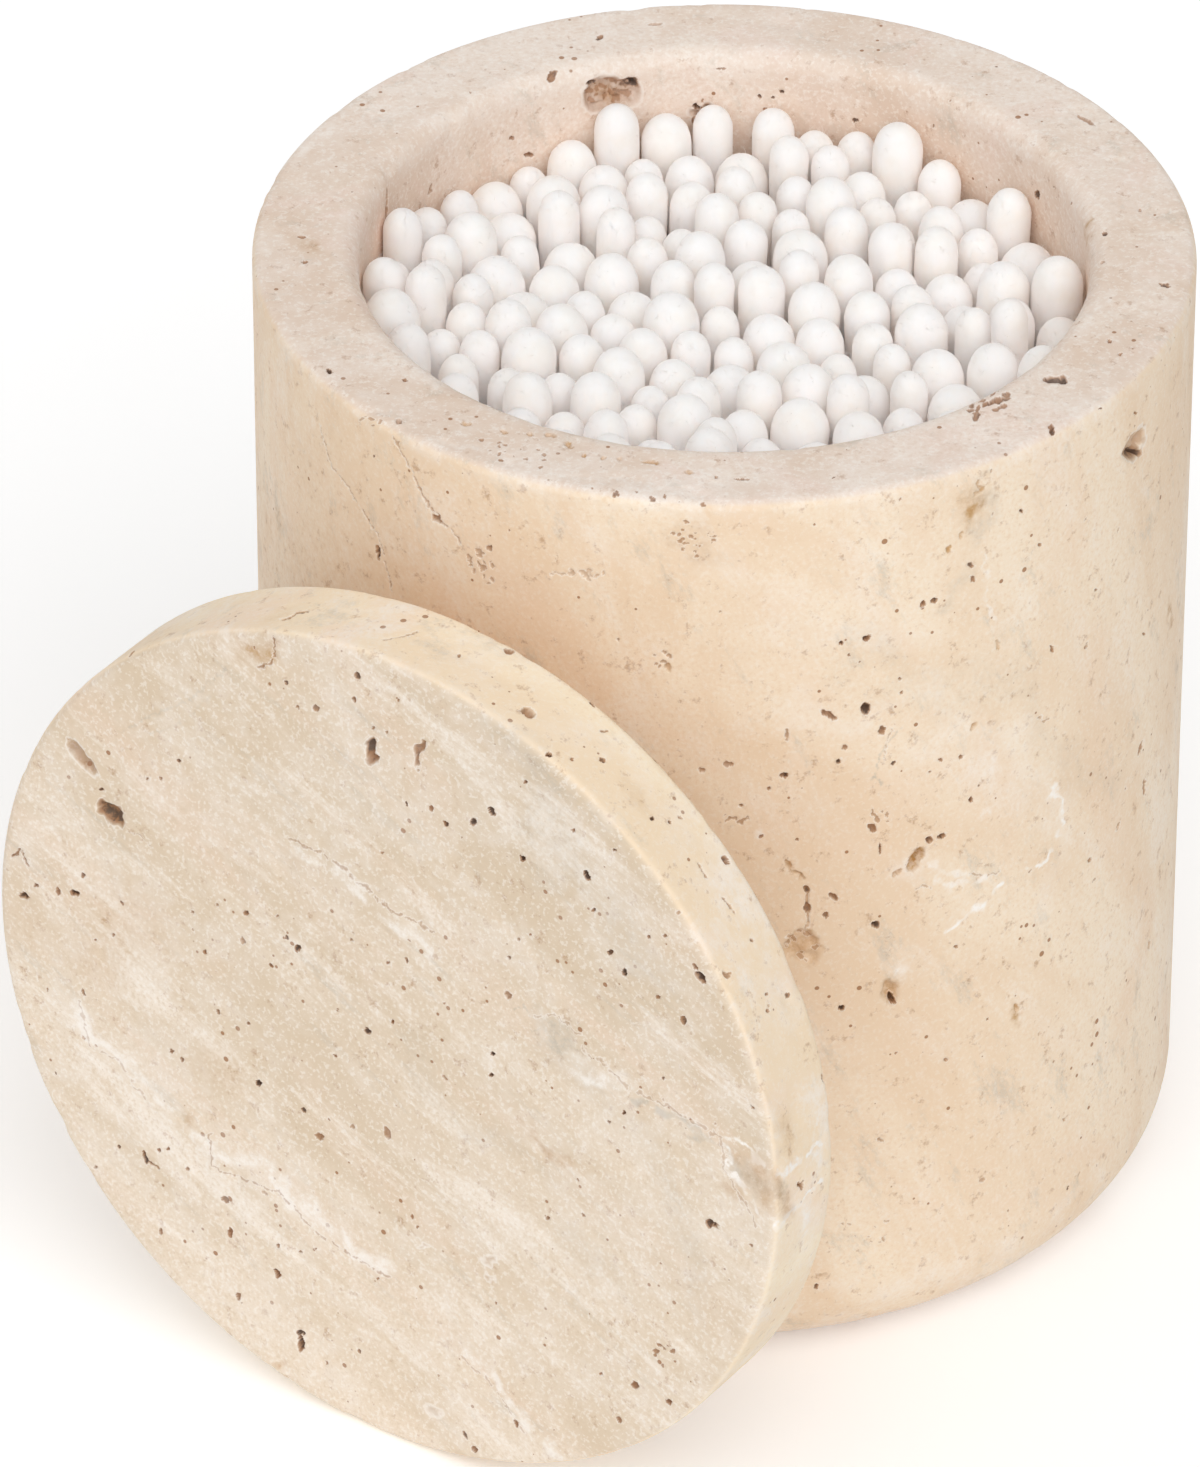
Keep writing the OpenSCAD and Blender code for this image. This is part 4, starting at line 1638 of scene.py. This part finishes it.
@dataclass
class CottonTips:
    """The cotton tips of one ring of swabs, at one end, in the places of their solids.

    lumps is the depth of the large and small lumps as a share of the radius. A hair's root is at
    hair_root of the radius, on a cap of hair_cap radii, and down the side by up to hair_fall_mm where it
    starts more than hair_side radians from the nose.
    """

    ring: int
    upper: bool
    around: int = 18
    rows: int = 12
    neck: float = 1.35 * MM
    belly: float = 0.4 * MM
    girth_hold: float = 1.7
    lumps: float = 0.045
    lump: float = 1.9 * MM
    small_lump: float = 0.9 * MM
    swell: float = 1.01
    hairs: int = 40
    hair_root: float = 0.94
    hair_cap: float = 1.15
    hair_side: float = 1.2
    hair_fall_mm: float = 3.5
    hair_long_mm: tuple[float, float] = (0.3, 0.85)
    hair_thick_mm: tuple[float, float, float] = (0.02, 0.015, 0.004)

    def node(self) -> str:
        """Name of the solids that these tips stand for."""
        return f"{'upper' if self.upper else 'lower'}_cotton_ring_{self.ring}"

    def buds(self) -> list[Bud]:
        """Finds the tips of the node: its loose triangles are joined where their corners meet.

        Every vertex starts with its own number, and each takes the least number of its triangles until
        nothing changes. What shares a number is one tip, and its longest direction is its axis.

        Returns:
            The tips.
        """
        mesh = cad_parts[self.node()].data
        points = np.empty(len(mesh.vertices) * 3)
        mesh.vertices.foreach_get("co", points)
        points = points.reshape(-1, 3)
        mesh.calc_loop_triangles()
        tris = np.empty(len(mesh.loop_triangles) * 3, int)
        mesh.loop_triangles.foreach_get("vertices", tris)
        _, first, same = np.unique(np.round(points, 6), axis=0, return_index=True, return_inverse=True)
        points = points[first]
        tris = same.ravel()[tris].reshape(-1, 3)
        label = np.arange(len(points))
        while True:
            least = label[tris].min(axis=1)
            fresh = label.copy()
            for corner in range(3):
                np.minimum.at(fresh, tris[:, corner], least)
            fresh = fresh[fresh]
            if np.array_equal(fresh, label):
                break
            label = fresh
        return [self.measure(points[label == number]) for number in np.unique(label)]

    def measure(self, cloud_of_points: np.ndarray) -> Bud:
        """The nose, axis, radius and length of one tip from its vertices.

        Args:
            cloud_of_points: Vertices of the tip.

        Returns:
            The tip.
        """
        _, _, main = np.linalg.svd(cloud_of_points - cloud_of_points.mean(axis=0), full_matrices=False)
        way = main[0] * (1.0 if (main[0][2] < 0) == self.upper else -1.0)
        heart = cloud_of_points.mean(axis=0)
        along = (cloud_of_points - heart) @ way
        rim = cloud_of_points[along > along.max() - 0.2 * MM].mean(axis=0)
        tip = cloud_of_points[along < along.min() + 0.05 * MM].mean(axis=0)
        way = (rim - tip) / np.linalg.norm(rim - tip)
        off = cloud_of_points - tip
        far = np.linalg.norm(off - (off @ way)[:, None] * way, axis=1).max()
        return Bud(tip, way, float(far), float(np.linalg.norm(rim - tip)))

    def build(self) -> bpy.types.Object:
        """Makes the tips of the ring as one piece, with loose hairs on the upper ones.

        Returns:
            The piece.
        """
        buds = self.buds()
        noses = np.array([bud.nose for bud in buds])
        ways = np.array([bud.way for bud in buds])
        radii = np.array([bud.radius for bud in buds])
        lengths = np.array([bud.length for bud in buds])
        points, faces = self.bodies(noses, ways, radii, lengths)
        name = f"{'upper' if self.upper else 'lower'}_cotton_tips_{self.ring}"
        if self.upper:
            strands, sides = self.fuzz(noses, ways, radii)
            faces = np.vstack([faces, sides + len(points)])
            points = np.vstack([points, strands])
        LOG.info("%s: %d tips, %d triangles", name, len(buds), len(faces))
        return put_mesh(name, points, faces)

    def side_ways(self, ways: np.ndarray) -> tuple[np.ndarray, np.ndarray]:
        """Two directions square to each axis and to each other."""
        one = np.cross(ways, np.array([0.0, 1.0, 0.0]))
        one /= np.linalg.norm(one, axis=1)[:, None]
        return one, np.cross(ways, one)

    def bodies(self, noses: np.ndarray, ways: np.ndarray, radii: np.ndarray,
               lengths: np.ndarray) -> tuple[np.ndarray, np.ndarray]:
        """The closed bodies of the tips, as rings along their axes between two poles.

        The radius follows a quarter of an ellipse from the nose to the belly, holds its girth for a
        while, and falls as the square of a cosine to the neck. Small clouds make it lumpy.

        Args:
            noses: Noses of the tips.
            ways: Their axes.
            radii: Their radii.
            lengths: Their lengths.

        Returns:
            Vertices and triangles.
        """
        u = np.linspace(0, 1, self.rows + 1)
        head = np.clip(2 * u, 0, 1)[None, :] * np.pi / 2
        tail = np.clip(2 * u - 1, 0, 1)[None, :]
        crown = (radii + self.belly)[:, None]
        depth = crown * (1 - np.cos(head)) + tail * (lengths[:, None] - crown)
        radius = radii[:, None] * np.sin(head)
        cone = self.neck + (radii[:, None] - self.neck) * np.cos(tail ** self.girth_hold * np.pi / 2) ** 2
        radius = np.where(tail > 0, cone, radius)
        angle = np.linspace(0, 2 * np.pi, self.around, endpoint=False)
        one, two = self.side_ways(ways)
        spoke = one[:, None, :] * np.cos(angle)[None, :, None]
        spoke = spoke + two[:, None, :] * np.sin(angle)[None, :, None]
        core = (noses[:, None, :] + ways[:, None, :] * depth[:, 1:, None])[:, :, None, :]
        shell = core + spoke[:, None, :, :] * radius[:, 1:, None, None]
        flat = shell.reshape(-1, 3)
        lumps = cloud(flat, self.lump, 51) + 0.4 * cloud(flat, self.small_lump, 52) - 0.3
        swell = (self.swell + self.lumps * lumps).reshape(shell.shape[:3])
        shell = core + (shell - core) * swell[..., None]
        end = noses + ways * lengths[:, None]
        count = len(noses)
        size = self.rows * self.around + 2
        points = np.concatenate([noses[:, None, :], shell.reshape(count, -1, 3), end[:, None, :]], axis=1)
        return points.reshape(-1, 3), repeated(woven(self.rows, self.around), count, size)

    def fuzz(self, noses: np.ndarray, ways: np.ndarray, radii: np.ndarray) -> tuple[np.ndarray, np.ndarray]:
        """Loose hairs: three-sided spikes that leave the tips outwards and bend to the side.

        A hair's middle line is a parabola: its root, plus 0.6 of the outward direction times t, plus a
        sideways direction times t squared, both times the hair's size.

        Args:
            noses: Noses of the tips.
            ways: Their axes.
            radii: Their radii.

        Returns:
            Vertices and triangles.
        """
        dice = np.random.default_rng(SEED + self.ring)
        count = len(noses) * self.hairs
        owner = np.repeat(np.arange(len(noses)), self.hairs)
        head = np.arccos(1 - dice.random(count) * self.hair_cap)
        around = dice.random(count) * 2 * np.pi
        one, two = self.side_ways(ways)
        spoke = one[owner] * np.cos(around)[:, None] + two[owner] * np.sin(around)[:, None]
        r = radii[owner][:, None]
        deep = (r + self.belly) * (1 - np.cos(head))[:, None]
        fall = dice.random(count) * self.hair_fall_mm * MM
        deep += np.where(head > self.hair_side, fall, 0.0)[:, None]
        root = noses[owner] + ways[owner] * deep + spoke * r * np.sin(head)[:, None] * self.hair_root
        out = spoke * np.sin(head)[:, None] - ways[owner] * np.cos(head)[:, None]
        side = np.cross(out, dice.normal(size=(count, 3)))
        side /= np.linalg.norm(side, axis=1)[:, None]
        size = (dice.uniform(*self.hair_long_mm, count)[:, None] * MM)[:, None]
        t = np.array([0.0, 0.5, 1.0])[None, :, None]
        line = root[:, None, :] + out[:, None, :] * size * t * 0.6 + side[:, None, :] * size * t ** 2
        lift = np.cross(out, side)
        thick = np.array(self.hair_thick_mm)[None, :, None, None] * MM
        angle = np.arange(3) * 2 * np.pi / 3
        turn = side[:, None, None, :] * np.cos(angle)[None, None, :, None]
        turn = turn + lift[:, None, None, :] * np.sin(angle)[None, None, :, None]
        points = line[:, :, None, :] + turn * thick
        corner = np.arange(3)
        after = (corner + 1) % 3
        lower = np.concatenate([corner, corner + 3])
        upper = np.concatenate([after, after + 3])
        one_side = np.column_stack([lower, upper, upper + 3])
        two_side = np.column_stack([lower, upper + 3, lower + 3])
        caps = np.array([[0, 2, 1], [6, 7, 8]])
        spike = np.vstack([one_side, two_side, caps])
        return points.reshape(-1, 3), repeated(spike, count, 9)


@dataclass
class Studio:
    """A pale floor, soft light from all round and two wide soft lamps in front.

    The floor adds a little light of its own where only the camera sees it, so that it comes out white
    and keeps the object's shadow. The sky fades from sky to sky_sides where its direction's X, shifted
    by fade_shift, goes from fade_start to fade_end on either side. Light bounces often enough to reach
    down between the white tips.
    """

    floor_side: float = 6.0
    floor_lift: float = 0.15
    sky: float = 0.66
    sky_sides: float = 0.06
    fade_shift: float = 0.14
    fade_start: float = 0.55
    fade_end: float = 1.08
    key: float = 0.95
    key_from: tuple[float, float, float] = (0.55, -1.0, 1.25)
    key_spread: float = 50.0
    fill: float = 0.62
    fill_from: tuple[float, float, float] = (-0.3, -1.0, 0.8)
    fill_spread: float = 60.0
    middle: tuple[float, float, float] = (0.0, 0.0, 0.045)
    bounces: int = 8

    def build(self) -> None:
        """Adds the floor, the lamps and the world to the scene."""
        half = self.floor_side / 2
        corners = np.array([[-half, -half, 0.0], [half, -half, 0.0], [half, half, 0.0], [-half, half, 0.0]])
        floor = put_mesh("studio_floor", corners, np.array([[0, 1, 2, 3]]))
        n = Surface("studio_floor")
        path = n.add("ShaderNodeLightPath")
        seen = n.math("MAXIMUM", path.outputs["Is Camera Ray"], path.outputs["Is Glossy Ray"])
        seen = n.math("MAXIMUM", seen, path.outputs["Is Transmission Ray"])
        n.coat(Base_Color=paint("fdfdfd"), Roughness=0.9, Specular_IOR_Level=0.0,
               Emission_Color=paint("ffffff"), Emission_Strength=n.math("MULTIPLY", seen, self.floor_lift))
        floor.data.materials.append(n.material)
        world = bpy.data.worlds.new("studio")
        world.use_nodes = True
        air = Nodes(world.node_tree)
        sky = world.node_tree.nodes["Background"]
        way = air.add("ShaderNodeTexCoord").outputs["Generated"]
        east = air.add("ShaderNodeSeparateXYZ", {0: way}).outputs["X"]
        side = air.math("ABSOLUTE", air.math("ADD", east, self.fade_shift))
        air.feed(sky.inputs["Color"], paint("ffffff"))
        air.feed(sky.inputs["Strength"],
                 air.ramp(side, self.fade_start, self.fade_end, self.sky, self.sky_sides))
        bpy.context.scene.world = world
        self.lamp("key_light", self.key_from, self.key_spread, self.key)
        self.lamp("fill_light", self.fill_from, self.fill_spread, self.fill)
        bpy.context.scene.view_settings.view_transform = "Standard"
        bpy.context.scene.cycles.diffuse_bounces = self.bounces

    def lamp(self, name: str, place: tuple[float, float, float], spread: float, power: float) -> None:
        """Adds a far soft lamp that looks at the middle of the object.

        Args:
            name: Name of the lamp.
            place: Its direction from the object.
            spread: Width of the lamp as the object sees it, in degrees.
            power: Power on a square metre that faces it.
        """
        light = bpy.data.lights.new(name, "SUN")
        light.angle = float(np.radians(spread))
        light.energy = power
        lamp = bpy.data.objects.new(name, light)
        aim = Vector(self.middle) - Vector(place)
        turn = aim.to_track_quat("-Z", "Y").to_matrix().to_4x4()
        lamp.matrix_world = Matrix.Translation(Vector(place)) @ turn
        bpy.context.scene.collection.objects.link(lamp)


def carry(piece: bpy.types.Object, material: bpy.types.Material, slot: str, *nodes: str) -> None:
    """Gives a new piece its material and its body, and hides the nodes that it stands for."""
    piece.data.materials.append(material)
    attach(piece, BODY)
    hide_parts(*nodes)


def main() -> None:
    """Builds the holder piece by piece and sets the studio round it."""
    logging.basicConfig(level=logging.INFO, format="%(message)s")
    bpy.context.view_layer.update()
    camera = PhotoCamera()
    camera.build()
    Studio().build()

    jar = StoneJar(camera, Rest())
    bed = jar.land(np.array(JAR_BED), Face.WALL)
    jar_stone = Travertine("jar_travertine", laid_along(bed[1] - bed[0], np.array([1.0, -1.0, 0.6])))
    carry(jar.build(), jar_stone.build(), "jar_stone", "jar")
    lid = StoneLid(camera, lid_rest())
    bed = lid.land(np.array(LID_BED), Face.LID_FACE)
    lid_stone = Travertine("lid_travertine", laid_along(bed[1] - bed[0], np.array(lid.rest.axes[2])),
                           # The lid's round edge is brighter than its face: its cream hue is the stone's own,
                           # and part of its brightness is painted light, as the edge faces up towards the
                           # lamps.
                           side=("faeacf", "f3ddbf", "f6dfc8"), cut=("e9d8c3", "dbc7ad", "e5ceb6"),
                           stretch=(0.22, 1.0, 0.6), band_share=0.7)
    carry(lid.build(), lid_stone.build(), "lid_stone", "lid")

    cotton = CottonFibre("cotton_fibre").build()
    paper = RolledPaper("rolled_paper").build()
    for ring in range(1, 8):
        upper = CottonTips(ring, True)
        carry(upper.build(), cotton, "cotton", upper.node())
        lower = CottonTips(ring, False, around=10, rows=8)
        carry(lower.build(), cotton, "cotton", lower.node())
        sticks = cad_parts[f"paper_sticks_ring_{ring}"]
        sticks.data.materials.clear()
        sticks.data.materials.append(paper)
        LOG.info("paper sticks of ring %d dressed", ring)

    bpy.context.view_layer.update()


if __name__ == "__main__":
    main()
